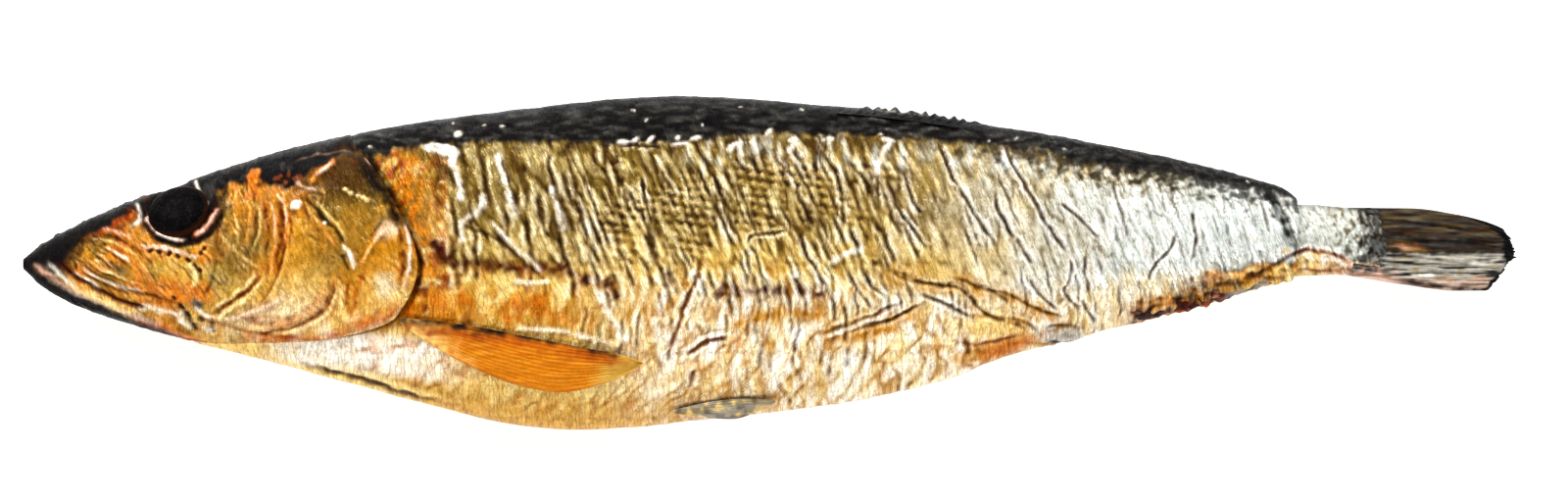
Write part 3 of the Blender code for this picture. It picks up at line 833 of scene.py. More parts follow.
    # Folds where the head joins the shoulder, and between its plates; the crease ones are painted shade in
    # the folds
    for route, wide, colour, amount, rise in (
        (((53.3, 18.7), (55.8, 19.7), (60.1, 19.7), (63.5, 18.4), (66, 15.3)), 0.6, "crease", 0.9, -0.1),
        (((47.3, 17), (50.7, 18.4), (55, 19.1), (58.4, 19.2)), 0.22, "blush", 0.3, 0.05),
        (((65.2, 16.7), (67.7, 11.6), (69.4, 7.3), (70.1, 3.1)), 0.5, "crease", 0.9, -0.2),
        (((6.5, 3.1), (11.6, 5.4), (16.7, 7.8), (21.8, 10.2)), 0.5, "smoke", 0.7, 0.0),
        (((9.5, 1), (15, -2.9), (21.8, -5.4), (30.3, -7.5)), 0.35, "crease", 0.75, -0.1),
        (((30.3, -8.5), (37.1, -10.9), (45.6, -12.3), (55.8, -13.1)), 0.35, "rust", 0.7, -0.1),
        (((45.3, 10.7), (46.6, 7.3), (47, 3.1), (45.9, -2)), 0.4, "rust", 0.7, -0.15),
        (((40.8, 13.3), (42.2, 9), (41.9, 3.9), (39.6, 0.5)), 0.35, "crease", 0.5, -0.12),
        (((49.3, 10.7), (52.4, 5.6), (55, 1)), 0.35, "rust", 0.5, -0.1),
        (((35.1, 1), (34.4, -2.9), (32.8, -5.4)), 0.35, "crease", 0.6, -0.12),
    ):
        hide.stroke(route, wide, colour, amount, rise, 0.0, 0.15)


def draw_head(hide, is_left):
    """Both sides of the head are alike, apart from their noise and wrinkles."""
    paint_head(hide)
    draw_snout(hide)
    draw_eye_socket(hide)
    draw_cheek(hide)
    draw_gill_cover(hide)
    # Dried wrinkles between the plates, the first two sets with painted shade in their grooves and painted
    # highlight on their lips
    hide.comb(
        (8, 40), (-12, 14), (1.6, 1.8), lambda x, z: 1.0 - 0.01 * x,
        (2.0, 6.0), (0.12, 0.22), (0.05, 0.12),
        lambda x, z: 0.5, tints=("crease", 0.5), wobble=0.3,
    )
    hide.comb(
        (36, 70), (-14, 18), (1.9, 2.4), lambda x, z: 0.25 + 0.03 * (x - 45),
        (1.5, 5.5), (0.13, 0.26), (0.04, 0.10),
        lambda x, z: 0.45, tints=("crease", 0.4), wobble=0.5,
    )
    hide.comb(
        (36, 70), (-12, 16), (3.2, 3.6), lambda x, z: 0.1 + 0.03 * (x - 45),
        (1.5, 4.5), (0.14, 0.3), (-0.10, -0.04),
        lambda x, z: 0.5, tints=("gold", 0.0), wobble=0.5,
    )
    hide.relief += 0.10 * hide.noise(2.4, 2.4, 14, 3) + 0.03 * hide.noise(0.9, 0.9, 17, 2)


# What is on the flank

BACK_EDGE = (
    (47.3, 15.8), (60.9, 18.4), (72.8, 20.1), (84.7, 20.6), (98.4, 20.4), (115.4, 20.6), (129, 21.8),
    (140.9, 21.8), (154.5, 21.4), (166.4, 20.2), (174.9, 20.1), (183.4, 18.4), (200.4, 16.3), (210.7, 14),
    (217.5, 12.9), (222.6, 11.6),
)


def back_edge(station):
    """Where the black of the back ends, a little lower at the rear."""
    return line(BACK_EDGE, station) - 0.9 * ease(station, 165, 185)


def flank_lean(x, z):
    """How far the creases lean back on their way down, in radians. They turn forward below."""
    upper = 0.40 - 0.12 * ease(x, 150, 205) - 0.25 * fall(x, 88, 104)
    return float(upper - (0.55 + 0.1 * ease(x, 150, 200)) * fall(z, -15, 1))


def draw_folds(hide, is_left, folds):
    """Folds and cracks that are this flank's own; the right flank has fewer, in other places."""
    for name, wide, depth, amount, lip, routes in folds if is_left else folds[:6]:
        for route in routes:
            if not is_left:
                route = [(a + hide.rng.normal(0, 1.2), b + hide.rng.normal(0, 0.8)) for a, b in route]
            hide.stroke(route, wide, name, amount, -depth, lip, 0.12)


def paint_flank(hide, wave, fine, streak, patch):
    """Ground colours: olive above, gold, cream below, orange in front and silver behind."""
    s, y = hide.station, hide.level
    silvering = ease(s + 9 * wave + 5 * streak, 144, 203)
    hide.zone("olive", ease(y + 2 * wave + 1.5 * streak, -4, 11) * (1 - 0.8 * ease(s, 105, 175)), 0.45)
    hide.zone("gold", 0.2 + 0.4 * streak, 0.5)
    hide.zone("olive", 0.6 * ease(y + 2 * wave + streak, 1, 12) * fall(s, 125, 180), 0.45)
    hide.zone("cream", fall(y + 2.0 * wave + 1.0 * streak, -17, -4) * (0.85 + 0.15 * streak), 0.4)
    band = fall(abs(y + 8.0 + 1.6 * wave) / 6.5, 0.3, 1) * fall(s + 5 * patch, 90, 130)
    hide.zone("ochre", band * (0.75 + 0.4 * fine), 0.35)
    hide.zone("amber", band * (0.05 + 0.9 * patch), 0.3)
    hide.zone("gold", band * ease(-patch - fine, -0.1, 0.6) * 0.8, 0.4)
    hide.zone("cream", band * ease(fine - patch, 0.0, 0.7) * 0.85, 0.3)
    shoulder = fall(abs(s - 68 + 0.25 * y + 4 * patch) / 10, 0.35, 1) * ease(y, -14, -8)
    hide.zone("ochre", shoulder, 0.3)
    hide.zone("amber", shoulder * (0.25 + 1.2 * patch), 0.25)
    hide.zone("rust", shoulder * 0.9 * ease(-patch - 0.5 * fine, 0.0, 0.5), 0.2)
    hide.zone("crease", shoulder * 0.7 * ease(-patch + 0.6 * streak, 0.35, 0.8), 0.2)
    hide.zone("olive", shoulder * 0.9 * ease(patch + fine, 0.2, 0.7) * ease(y, -4, 3), 0.3)
    hide.zone("cream", shoulder * 0.6 * ease(fine - patch, 0.4, 0.8), 0.3)
    hide.zone("silver", silvering * ease(y + 1.5 * wave, -15 + 0.04 * s, -5), 0.6)
    hide.zone("silver", 0.6 * silvering, 0.5)
    stain = within(s, 128, 142, 172, 196) * ease(y + 2 * wave, -3, 5)
    hide.zone("olive", stain * (0.25 + 0.6 * streak), 0.45)
    warm = 0.2 * np.clip(s - 150, 0, 42)
    hide.zone("cream", within(s, 100, 130, 192, 212) * fall(y + 2 * streak - warm, -15, -8) * 0.8, 0.3)
    light = within(s, 96, 116, 196, 206) * fall(y + 2 * streak, -8, 0)
    hide.zone(
        "cream", within(s, 92, 108, 160, 185) * fall(abs(y + 1.0) / 8, 0.3, 1) * (0.35 + 0.6 * streak), 0.35,
    )
    hide.zone("gold", light * (0.15 - 0.5 * patch), 0.3)
    hide.zone("glint", light * (0.5 + 0.45 * streak), 0.2)
    # Bare white throat
    pale = fall(abs(y + 15.5 + 0.12 * (s - 60)) / 4.6, 0.5, 1) * within(s, 40, 50, 68, 82)
    hide.zone("glint", pale * (1.0 + 0.3 * fine), 0.02)


def draw_keel(hide, fine, patch):
    """Torn flesh along the anal fin, and the fold along the keel of the belly."""
    s, y = hide.station, hide.level
    belly = line(BELLY_LINE, s)
    swell = 1.8 * hide.noise(6, 3, 38, 2) - 0.06 * (s - 196)
    tall = line(((190, 0.5), (196, 3.4), (206, 4.4), (214, 4.6), (222, 5.0)), s)
    torn = fall(y - belly + 1.2 * fine - swell, tall - 0.8, tall + 1.0) * ease(s, 191, 195)
    hide.zone("ochre", torn * 0.8, 0.1)
    hide.zone("rust", torn * (0.5 + 0.8 * fine), 0.1)
    hide.zone("blood", torn * ease(patch + fine, -0.3, 0.3) * 0.9, 0.1)
    hide.zone("blush", torn * 0.8 * ease(-patch + fine, 0.3, 0.8), 0.1)
    hide.zone("smoke", torn * ease(-fine - swell, 0.1, 0.9) * 0.85, 0.1)
    hide.relief += torn * (0.25 + 0.4 * hide.noise(2.2, 1.4, 45, 2))
    behind = torn * ease(s + 2 * fine, 207, 213)
    hide.zone("ochre", 0.8 * behind)
    hide.zone("cream", 0.9 * behind * ease(patch - fine, -0.2, 0.4))
    hide.zone(
        "ochre", 0.7 * fall(y - belly + 2.5 * fine - swell, 3.5, 8) * within(s, 188, 200, 218,
            222) * ease(fine, -0.4, 0.4), 0.2,
    )
    # The fold along the keel, with painted shade in it
    hide.stroke(
        ((47.3, -16.9), (56, -19.1), (61.6, -21), (68.1, -23), (74.2, -24.1)), 0.55, "crease", 0.85, -0.35,
    )
    hide.stroke(
        ((49, -16.3), (56.9, -18.2), (64.7, -20.6), (71.6, -22.8), (78.6, -24.7)), 0.5, "cream", 0.7, 0.25,
    )


def draw_back(hide, wave, fine, streak, is_left):
    """The black back with slate grey streaks and white specks of painted highlight, ragged towards the
    flank.
    """
    s, y = hide.station, hide.level
    rng = hide.rng
    back = line(BACK_LINE, s)
    edge = back_edge(s)
    ragged = 0.7 * hide.noise(3, 3, 20, 2) + 0.6 * hide.noise(0.9, 4, 23, 2)
    band = ease(y + ragged, edge - 0.5, edge + 0.7)
    mottle = hide.noise(1.6, 1.2, 28, 3)
    fade = ease(y + 3.5 * mottle + 0.5 * ragged, edge - 3.0, edge - 0.2) * ease(s, 140, 175)
    hide.zone("olive", 0.8 * ease(y + 3 * mottle, edge - 6, edge - 1) * within(s, 110, 150, 196, 214), 0.3)
    bare = ease(y + 1.5 * wave, edge - 6, edge - 3) * (1 - band) * within(s, 106, 124, 176, 196)
    hide.zone("silver", bare * (0.2 + 0.8 * streak), 0.4)
    hide.zone("cream", bare * ease(fine, 0.1, 0.6) * 0.35, 0.3)
    hide.zone("smoke", 0.85 * fade, 0.05)
    hide.zone("olive", 0.6 * ease(y + 1.5 * ragged, edge - 2.0, edge) * fall(s, 150, 190), 0.3)
    hide.zone("smoke", band, 0.0)
    hide.zone("slate", band * np.clip(0.2 + 1.3 * hide.noise(3.5, 0.9, 26, 3), 0, 1), 0.05)
    hide.zone("smoke", ease(y + 0.3 * fine, back - 1.1, back - 0.3) * 0.9, 0.0)
    for _ in range(150):
        x = rng.uniform(50, 218)
        low, high = line(BACK_EDGE, x), line(BACK_LINE, x)
        place = np.array((x, rng.uniform(low + 0.3, high - 0.5)))
        hide.spot(
            place, (rng.uniform(0.2, 0.9), rng.uniform(0.12, 0.3)), "slate", rng.uniform(0.2, 0.6), 0.12,
            turn=rng.uniform(-30, 30),
        )
    # Painted highlights: small white glints on the black skin
    for _ in range(14):
        x = rng.uniform(60, 216)
        low, high = line(BACK_EDGE, x), line(BACK_LINE, x)
        place = np.array((x, rng.uniform(low, high - 1)))
        hide.spot(place, (rng.uniform(0.15, 0.45), 0.13), "glint", 0.8, 0.12, turn=rng.uniform(-60, 60))
    # Painted highlights along the left back
    if is_left:
        hide.spot((73.9, 19.4), (3.2, 0.9), "glint", 1.0, 0.3, turn=-12)
        hide.spot((76.3, 22), (0.8, 0.5), "glint", 0.9, 0.2, turn=30)
        hide.spot((75.7, 18.2), (0.7, 1.6), "glint", 0.9, 0.2)
        for place in (
            (104.9, 20.7), (107, 21.1), (109.7, 21.3), (114.2, 21.5), (114.5, 20.4), (117.5, 21.4),
            (129.6, 22.4), (133.9, 21.1), (140, 21.3), (150.4, 21.1),
        ):
            hide.spot(place, (rng.uniform(0.5, 1.2), 0.35), "glint", 0.8, 0.2, turn=rng.uniform(-20, 50))


def draw_wrinkles(hide, wave, fine):
    """Bold waves in front, close grooves in the middle and long lines behind."""
    s, y = hide.station, hide.level
    edge = back_edge(s)
    belly = line(BELLY_LINE, s)
    under = fall(y, edge - 0.6, edge + 0.8)
    front = fall(s, 92, 108) * ease(s, 68, 76) * under
    middle = within(s, 90, 102, 148, 162) * under
    rear = within(s, 146, 160, 186, 200) * under
    last = ease(s, 182, 196) * under
    flank = ease(y + 2 * wave, -12, -6)
    low = fall(y + 1.5 * wave, -12, -6)
    high = ease(y + 2 * wave, -3, 2)
    mid = flank * (1 - high)
    # Every set of lines and every comb paints highlight beside its grooves, and a darker tint in them,
    # painted shade where it is crease
    hide.lines(4.6, 13, 50, front * high, 0.22, "crease", 0.85, 0.5, 0.17)
    hide.lines(4.6, 13, 50, front * mid, 0.12, "amber", 0.4, 0.4, 0.15)
    hide.lines(1.9, 7, 60, (0.3 * front + middle) * high, 0.16, "crease", 0.9, 0.75, 0.23)
    hide.lines(2.1, 9, 60, middle * mid, 0.13, "ochre", 0.9, 0.8, 0.2)
    hide.lines(3.4, 12, 70, rear * flank, 0.13, "olive", 0.6, 0.5, 0.10)
    hide.lines(2.4, 8, 80, (last + 0.3 * rear) * flank, 0.06, "slate", 0.35, 0.5, 0.10)
    hide.lines(3.6, 7, 90, low * within(s, 104, 116, 178, 190), 0.10, "ochre", 0.8, 0.7, 0.16)
    hide.zone("ochre", 0.52 * fall(y - belly + 2 * fine, 2, 8) * within(s, 60, 76, 120, 140), 0.3)
    hide.lines(3.2, 6, 110, low * fall(s, 104, 116) * ease(y - belly, 1, 5), 0.12, "amber", 0.5, 0.3, 0.15)
    hide.comb(
        (76, 104), (5, 20), (3.8, 7.0), flank_lean,
        (7, 12), (0.30, 0.5), (0.12, 0.26),
        lambda x, z: 0.75 * (z < line(BACK_EDGE, x) - 0.5), tints=("crease", 0.8), wobble=0.25,
    )
    hide.comb(
        (94, 152), (-9, 21), (2.3, 5.0), flank_lean,
        (4.0, 11.0), (0.22, 0.42), (0.14, 0.3),
        lambda x, z: 0.75 * (z < line(BACK_EDGE, x) + 0.5) * (z > 3 - 0.2 * (x - 94)),
        tints=("crease", 0.9), wobble=0.12,
    )
    hide.comb(
        (98, 150), (-13, 0), (3.0, 5.0), flank_lean,
        (4.0, 9.0), (0.22, 0.42), (0.12, 0.26),
        lambda x, z: 0.5, tints=("crease", 0.4), wobble=0.25,
    )
    hide.comb(
        (150, 190), (-12, 18), (3.3, 6.5), flank_lean,
        (5, 13), (0.2, 0.34), (0.1, 0.24),
        lambda x, z: 0.55 * (-5 < z < line(BACK_EDGE, x)), tints=("crease", 0.7), wobble=0.12,
    )
    hide.comb(
        (186, 221), (-8, 15), (2.6, 4.5), flank_lean,
        (3.5, 9.5), (0.16, 0.28), (0.05, 0.14),
        lambda x, z: 0.7 * (z < line(BACK_EDGE, x) + 1), tints=("slate", 0.7), wobble=0.15,
    )
    hide.comb(
        (110, 185), (-26, -9), (3.8, 5.5), lambda x, z: flank_lean(x, z) + 0.45,
        (4.0, 8.0), (0.25, 0.45), (0.08, 0.18),
        lambda x, z: 0.6 * (z > line(BELLY_LINE, x) + 1.5), tints=("ochre", 0.8), wobble=0.5,
    )
    hide.comb(
        (60, 220), (8, 27), (2.2, 3.0), lambda x, z: 1.3,
        (2.0, 6.0), (0.2, 0.35), (0.05, 0.12),
        lambda x, z: 0.8 * (line(BACK_EDGE, x) + 0.5 < z < line(BACK_LINE, x)), tints=("smoke", 0.6),
        wobble=0.3,
    )


def draw_scales(hide):
    """Prints of scales, in rows and in patches."""
    s, y = hide.station, hide.level
    u = s + SLANT * np.clip(y, -6, SLANT_TOP)
    rows = np.sin(2 * math.pi * (y + 0.12 * s + 0.35 * hide.noise(3, 3, 30)) / 1.5)
    columns = 2 * math.pi * (u + 0.8 * hide.noise(4, 3, 31)) / 1.9
    rows = np.sin(np.arcsin(rows) + 0.9 * np.sin(columns)) * (0.6 + 0.4 * np.cos(columns))
    patches = np.clip(1.5 * hide.noise(9, 6, 33) + 0.3, 0, 1) * within(s, 92, 104, 146, 158)
    patches = np.maximum(patches, np.exp(-(((s - 117) / 5) ** 2 + ((y - 9.0) / 5.5) ** 2) ** 2))
    patches = np.maximum(patches, np.exp(-(((s - 128) / 5) ** 2 + ((y - 9.0) / 5.0) ** 2) ** 2))
    patches = patches * within(y, -3, 2, 15, 19)
    hide.relief += 0.13 * rows * patches
    # Painted highlight on the crests of the rows and painted shade in their hollows
    hide.zone("cream", 0.6 * np.clip(rows, 0, 1) * patches)
    hide.zone("crease", 0.7 * np.clip(-rows, 0, 1) * patches)


def draw_flank(hide, is_left):
    """All that is on one flank. The left one has its own folds and specks."""
    s, y = hide.station, hide.level
    wave = hide.noise(9, 6, 10, 2)
    fine = hide.noise(1.8, 1.8, 12, 2)
    streak = hide.noise(1.6, 6, 15, 2)
    patch = hide.noise(4, 5, 19, 3)
    paint_flank(hide, wave, fine, streak, patch)
    draw_keel(hide, fine, patch)
    draw_back(hide, wave, fine, streak, is_left)
    # The painted shadow under the gill cover's rim and the blood-stained folds lie under the wrinkles, and
    # the sharp folds, with painted shade and highlight, over them
    draw_folds(hide, is_left, FLANK_FOLDS[:3])
    draw_wrinkles(hide, wave, fine)
    draw_folds(hide, is_left, FLANK_FOLDS[3:])
    draw_scales(hide)
    # Flesh before the vent, and the vent
    hide.spots(
        ((168.5, -15.1), (7.2, 1.9), "ochre", 0.9, 0.0, 17, 0.6),
        ((171.2, -14.5), (4.8, 1.1), "amber", 0.8, 0.0, 20, 0.7),
        ((166.8, -11.1), (5.5, 1.8), "cream", 0.8, 0.0, -8, 0.6),
    )
    hide.stroke(((161, -13.1), (164.7, -14.3), (169.8, -13.4), (174.9, -11.9)), 0.35, "rust", 0.9, -0.2)
    hide.spot((181.1, -12.6), (3.4, 1.1), "ash", 0.95, 0.5, turn=8)
    hide.stroke(((176.3, -11.9), (178.3, -13.4), (181.7, -14), (184.8, -12.6)), 0.4, "smoke", 0.85, -0.2)
    hide.stroke(((177.3, -11.2), (180, -10.7), (183.4, -11.2)), 0.3, "crease", 0.8, -0.15)
    # Dark cracks at the rear end of the skin
    hide.strokes(
        (
            ((215.4, 12.9), (217.3, 10.5), (218.7, 7.8), (219.7, 5.1), (221, 2.4), (222.6, 0.7)), 0.8,
            "smoke", 1.0, -0.25, 0.1, 0.1,
        ),
        (((217.1, 11.9), (219, 9.2), (220.2, 6.1), (221.5, 3.1)), 0.25, "slate", 0.8, -0.1, 0.1, 0.1),
        (((211, -3.1), (214.7, -2), (217.8, -0.3), (221.7, 2.2), (223.9, 2.9)), 0.45, "blood", 0.8, -0.15),
    )
    # Loose scales and mottling on the silver
    mottle = np.clip(2.0 * hide.noise(1.4, 1.1, 36, 2) - 0.5, 0, 1)
    edge = back_edge(s)
    where = ease(y, edge - 7.5, edge - 2.5) * ease(s, 150, 185)
    hide.zone("slate", 0.55 * mottle * where)
    hide.relief += 0.08 * mottle * where
    hide.relief += 0.16 * hide.noise(7, 9, 40, 2) + 0.06 * hide.noise(1.2, 2.6, 43, 2)


FLANK_FOLDS = (
    # colour, width, depth, amount, lip, routes
    # Painted shadow that the rim of the gill cover casts on the flank
    ("smoke", 0.9, 0.0, 0.95, 0.0, (((59.9, 20.1), (61.9, 17), (64, 13.3), (66, 9.5), (67.4, 6.8)),)),
    ("blood", 0.45, 0.15, 0.9, 0.1, (((66.4, 7.8), (68.4, 4.8), (70.1, 1), (71.1, -1.4)),)),
    ("blood", 1.3, 0.12, 1.0, 0.05, (
        (
            (70.3, 5), (73.3, 2.8), (75.1, 0.7), (79.4, -0.2), (84.6, -0.6), (89, -1.2), (94.2, -0.5),
            (98.5, -3), (103.3, -4.1), (105.5, -6.3),
        ),
        ((120.9, -3.7), (126.1, -5), (129.6, -5.6)),
        ((129.6, -5), (135.2, -5), (140, -5.4)),
    )),
    # Crease groups, here and below: painted shade inside the folds
    ("crease", 0.32, 0.16, 0.7, 0.12, (
        ((138.3, -12.4), (141.3, -11.1), (144.8, -10.2), (147.8, -9.1), (150.4, -7.6), (153.1, -6.6)),
        ((155.2, -5), (159.1, -6.4), (162.6, -8.4), (166.4, -10.3)),
        ((155.9, -5.4), (159.8, -6.9), (163.7, -8.9), (168.5, -9.4), (173.7, -10), (177.2, -12.4)),
    )),
    ("ochre", 1.2, 0.0, 1.0, 0.0, (
        ((140.9, -11.6), (144.8, -11.1), (149.9, -10), (153.8, -8.5), (156.5, -7.1)),
        (
            (148.7, -0.9), (152.6, -1.9), (156.5, -3.9), (159.8, -4.1), (163, -4.4), (164.9, -7),
            (168.1, -9.7), (172, -10.5), (175.9, -12.3),
        ),
        (
            (159.8, -2.6), (163.7, -3.2), (166.9, -5.1), (170.2, -5.1), (173.4, -7.1), (177.3, -8.7),
            (181.2, -9.7),
        ),
        ((122.9, -11.9), (125.6, -9.9), (130.7, -8.8), (137.5, -8.5), (140.9, -9.2)),
        ((139.2, -10.5), (140.9, -13.1), (146, -12.3), (152.8, -10.5)),
    )),
    ("crease", 0.26, 0.2, 0.7, 0.08, (
        ((149.6, -1.1), (153.9, -3.2), (158.3, -3.7), (162.6, -3.2), (164.8, -5.8), (166.4, -8.4)),
        ((157.6, -4.1), (162.4, -3.9), (164.6, -6.3), (166.3, -8.4), (168.5, -9.4)),
        ((142.6, -11.7), (148.3, -10.7), (152.6, -9), (155.7, -6.8)),
        ((165.9, -3.7), (168.5, -5), (171.1, -6.8)),
    )),
    ("crease", 0.28, 0.2, 0.8, 0.04, (
        (
            (148.7, -0.7), (152.6, -1.7), (156.5, -3.6), (159.8, -3.9), (163, -4.3), (164.9, -6.8),
            (168.1, -9.5), (172, -10.4), (175.9, -12.1),
        ),
        (
            (159.8, -2.4), (163.7, -3.1), (166.9, -4.9), (170.2, -4.9), (173.4, -6.8), (177.3, -8.5),
            (181.2, -9.5),
        ),
        ((140.9, -11.4), (144.8, -10.7), (149.9, -9.9), (153.8, -8.2), (156.5, -6.8)),
    )),
    ("rust", 0.40, 0.35, 0.85, 0.25, (
        ((118.3, 1.1), (117.5, -2.8), (115.7, -6.3), (114.4, -10.6), (112.7, -15.8), (111.9, -17.2)),
        ((115.7, -16), (118.8, -13.3), (122.9, -12.8)),
        ((117, -18.4), (116.1, -21.6)),
    )),
    ("crease", 0.32, 0.34, 0.95, 0.24, (
        ((158.7, 21.1), (161.1, 15.4), (163.7, 10.2), (166.8, 5.9), (169.2, 2.3)),
        ((169.6, 21.9), (172, 16.3), (174.6, 12), (178, 5.9), (181.6, 1.1)),
        ((168.3, 12), (169.4, 8), (172.8, 3.3), (175.4, -0.7)),
    )),
    ("crease", 0.28, 0.26, 0.8, 0.20, (
        ((181.6, 1.3), (181.9, -0.9), (181.5, -3.2), (180.4, -5), (183.3, -8.1)),
        ((174.8, -2.4), (175.4, -4.1), (177.2, -6.3), (179.8, -8.4)),
        ((183.7, -6.3), (185, -8.4), (186.3, -10.3)),
        ((184.3, 1.1), (184.1, -1.9), (185.1, -5.1)),
        ((200, 5.4), (199.3, 2.8), (198, 1.1), (195.8, -1.2), (195.4, -3.3)),
        ((146.5, -1.9), (147.8, -4.5), (150.1, -5.9)),
        ((143.5, -2.8), (146.1, -5.8), (147.5, -8.1)),
    )),
    ("crease", 0.28, 0.30, 0.95, 0.22, (
        ((117.5, 16.7), (119.2, 12.8), (121.8, 7.6), (123.6, 3.6)),
        ((120.5, 15), (121.9, 11)),
        ((124, 18), (125.8, 15.8)),
        ((130.9, 18), (133.1, 15.4), (135.3, 12.7)),
        ((133.9, 19.3), (136.1, 15.9), (137.5, 12.7)),
        ((141.3, 16.7), (141.8, 12.8), (142.6, 9.3), (142.7, 5.8)),
        ((148.3, 14.6), (148.7, 11.4)),
        ((154.3, 10.7), (155.7, 8.4)),
        ((151.7, 9.8), (154.8, 5), (157, 2.3)),
        ((135.2, 5.4), (136.1, 1.5), (138.7, -2.4), (141, -7.2)),
        ((125.7, 2.4), (126.7, -2)),
        ((107.9, 15), (109.7, 5.8)),
        ((111.4, 15.9), (114.1, 11)),
        ((202.8, 8.9), (203.7, 5), (203.2, 0.6)),
        ((152.9, 15.9), (154.2, 10.7), (156.4, 8.4)),
        ((152, 9.3), (155.1, 4.9)),
        ((179.8, 10.7), (183.3, 7.6), (186.8, 4.1)),
        ((126.1, 3.1), (126.6, 4.8), (129.6, 5), (133.2, 5.5)),
        ((104, 20.1), (107.9, 20.1), (111.5, 19.9)),
    )),
    ("blood", 0.8, 0.15, 1.0, 0.0, (
        ((72.5, 3.9), (73.8, 2)),
        ((93.8, 0), (94.8, -1.2)),
        ((98.1, -2.4), (99, -3.9)),
        ((101.8, -2.4), (104.1, -6.4)),
        ((128.7, -3.7), (129.7, -6.4)),
        ((120.9, -4.3), (122, -5.8)),
        ((112.7, -1.1), (113.2, -4.5)),
    )),
    # Glint groups, here and below: painted highlight on raised folds
    ("glint", 0.55, -0.32, 0.75, 0.0, (
        ((75.1, 18), (76.8, 14.6), (77.3, 10.1)),
        ((82.9, 19.3), (84.2, 15.9), (85.5, 11.1), (86.9, 7.1)),
        ((81.6, 12), (80.3, 8.5), (77.3, 7.5)),
        ((77.3, 7.6), (77.7, 3.2)),
        ((92.4, 13.7), (93.3, 11.1), (95.1, 4.9)),
        ((99, -1.9), (101.1, -6.3), (104.2, -11.5), (105.6, -14.6)),
        ((110.2, -8.9), (110.7, -13.2), (112, -17.2)),
        ((122.7, 18.9), (124.4, 21.1), (125.4, 18)),
        ((133.1, 18.5), (134.4, 21.1), (134.9, 21.5)),
        ((150.9, 21.1), (148.7, 18), (148.4, 14.5)),
        ((133.9, -0.6), (134.4, -2.8)),
        ((140, -0.6), (142.2, 1.5), (146.1, 2.4)),
    )),
    ("glint", 0.36, -0.34, 0.7, 0.0, (
        ((82, 7.6), (85.5, 3.7), (88.1, 1.1), (91.7, -2)),
        ((85.9, -3), (89.8, -3.3), (92.5, -3.1)),
        ((85.9, -11.1), (95.1, -11.6), (103.8, -14.1)),
        ((116.1, -14.5), (119.2, -12.4), (123.2, -12)),
        ((139.2, -12.8), (144.4, -10.8), (149.7, -9.3)),
    )),
    ("crease", 0.32, 0.24, 0.85, 0.0, (
        ((83.8, 18), (85.5, 13.7), (86.9, 9.7)),
        ((82, 6.2), (85.5, 2.4), (89, -0.6), (92, -3.3)),
        ((77.7, 6.4), (81.6, 5), (84.2, 3.5)),
        ((90.1, 11.1), (90.7, 7.6), (92.4, 4.1)),
        ((78.6, 11.1), (79.2, 7.6), (80.3, 5.9)),
    )),
)


# What is on the root of the tail


def draw_tail_root(hide, is_left):
    """Silver skin above a pinkish keel, sooty towards the tail. Both sides are alike."""
    s, y = hide.station, hide.level
    fine = hide.noise(1.6, 1.6, 12, 2)
    back = line(TAIL_ROOT_BACK, s)
    hide.zone("silver", np.ones_like(s), 0.5)
    hide.zone("olive", 0.2 + 0.25 * fine, 0.4)
    speck = np.clip(2.6 * hide.noise(1.1, 1.3, 16, 2) - 0.1, 0, 1)
    hide.zone("smoke", 0.8 * speck * ease(s, 226, 231), 0.1)
    hide.zone("olive", 0.5 * speck * ease(s, 222, 230) * ease(y, 1, 4))
    low = line(
        ((197, -13.1), (207.3, -8.5), (217.5, -2.6), (221.7, 1), (225.1, 1.9), (229.4, 1), (234.5, -0.7)), s,
    )
    upper = ease(y + 0.8 * fine - low, -0.8, 0.8)
    hide.zone("smoke", ease(s + 1.8 * fine, 231.8, 234) * 0.85 * upper, 0.0)
    hide.zone("ash", ease(s, 230, 233) * np.clip(2.2 * hide.noise(0.7, 1.3, 18, 2) - 0.5, 0, 0.6), 0.05)
    hide.zone("cream", 1 - upper, 0.1)
    hide.zone("blush", (1 - upper) * ease(s + 3 * fine, 222, 232), 0.1)
    hide.zone("glint", (1 - upper) * ease(fine, 0.0, 0.6) * 0.8, 0.1)
    hide.zone("crease", (1 - upper) * ease(-fine, 0.25, 0.7) * 0.6, 0.1)
    hide.zone("olive", (1 - upper) * fall(s, 216, 224) * 0.5, 0.1)
    hide.zone("slate", ease(y - back, -1.0, -0.3) * 0.4)
    hide.strokes(
        (
            ((218.7, 0.4), (222.2, 2.1), (224.8, 2.2), (228.2, 1.3), (231.7, 0.2)), 0.35, "rust", 0.9,
            -0.15, 0.1,
        ),
        (((224.8, 0.9), (228.2, 0.4), (230.8, -0.4)), 0.4, "glint", 0.7, 0.15),
        (((218.7, -1.7), (223, -1.4), (227.4, -1.3), (230.8, -1.5)), 0.3, "rust", 0.8, -0.1),
    )
    hide.comb(
        (214, 240), (-4, 10), (1.7, 2.2), lambda x, z: 0.5,
        (1.5, 4.0), (0.18, 0.3), (0.05, 0.12),
        lambda x, z: 0.7, tints=("slate", 0.5), wobble=0.4,
    )
    hide.relief += 0.08 * hide.noise(1.5, 1.2, 14, 2)


# Meshes


LEAST_HEIGHT = 0.03  # of any point over the floor, in millimetres


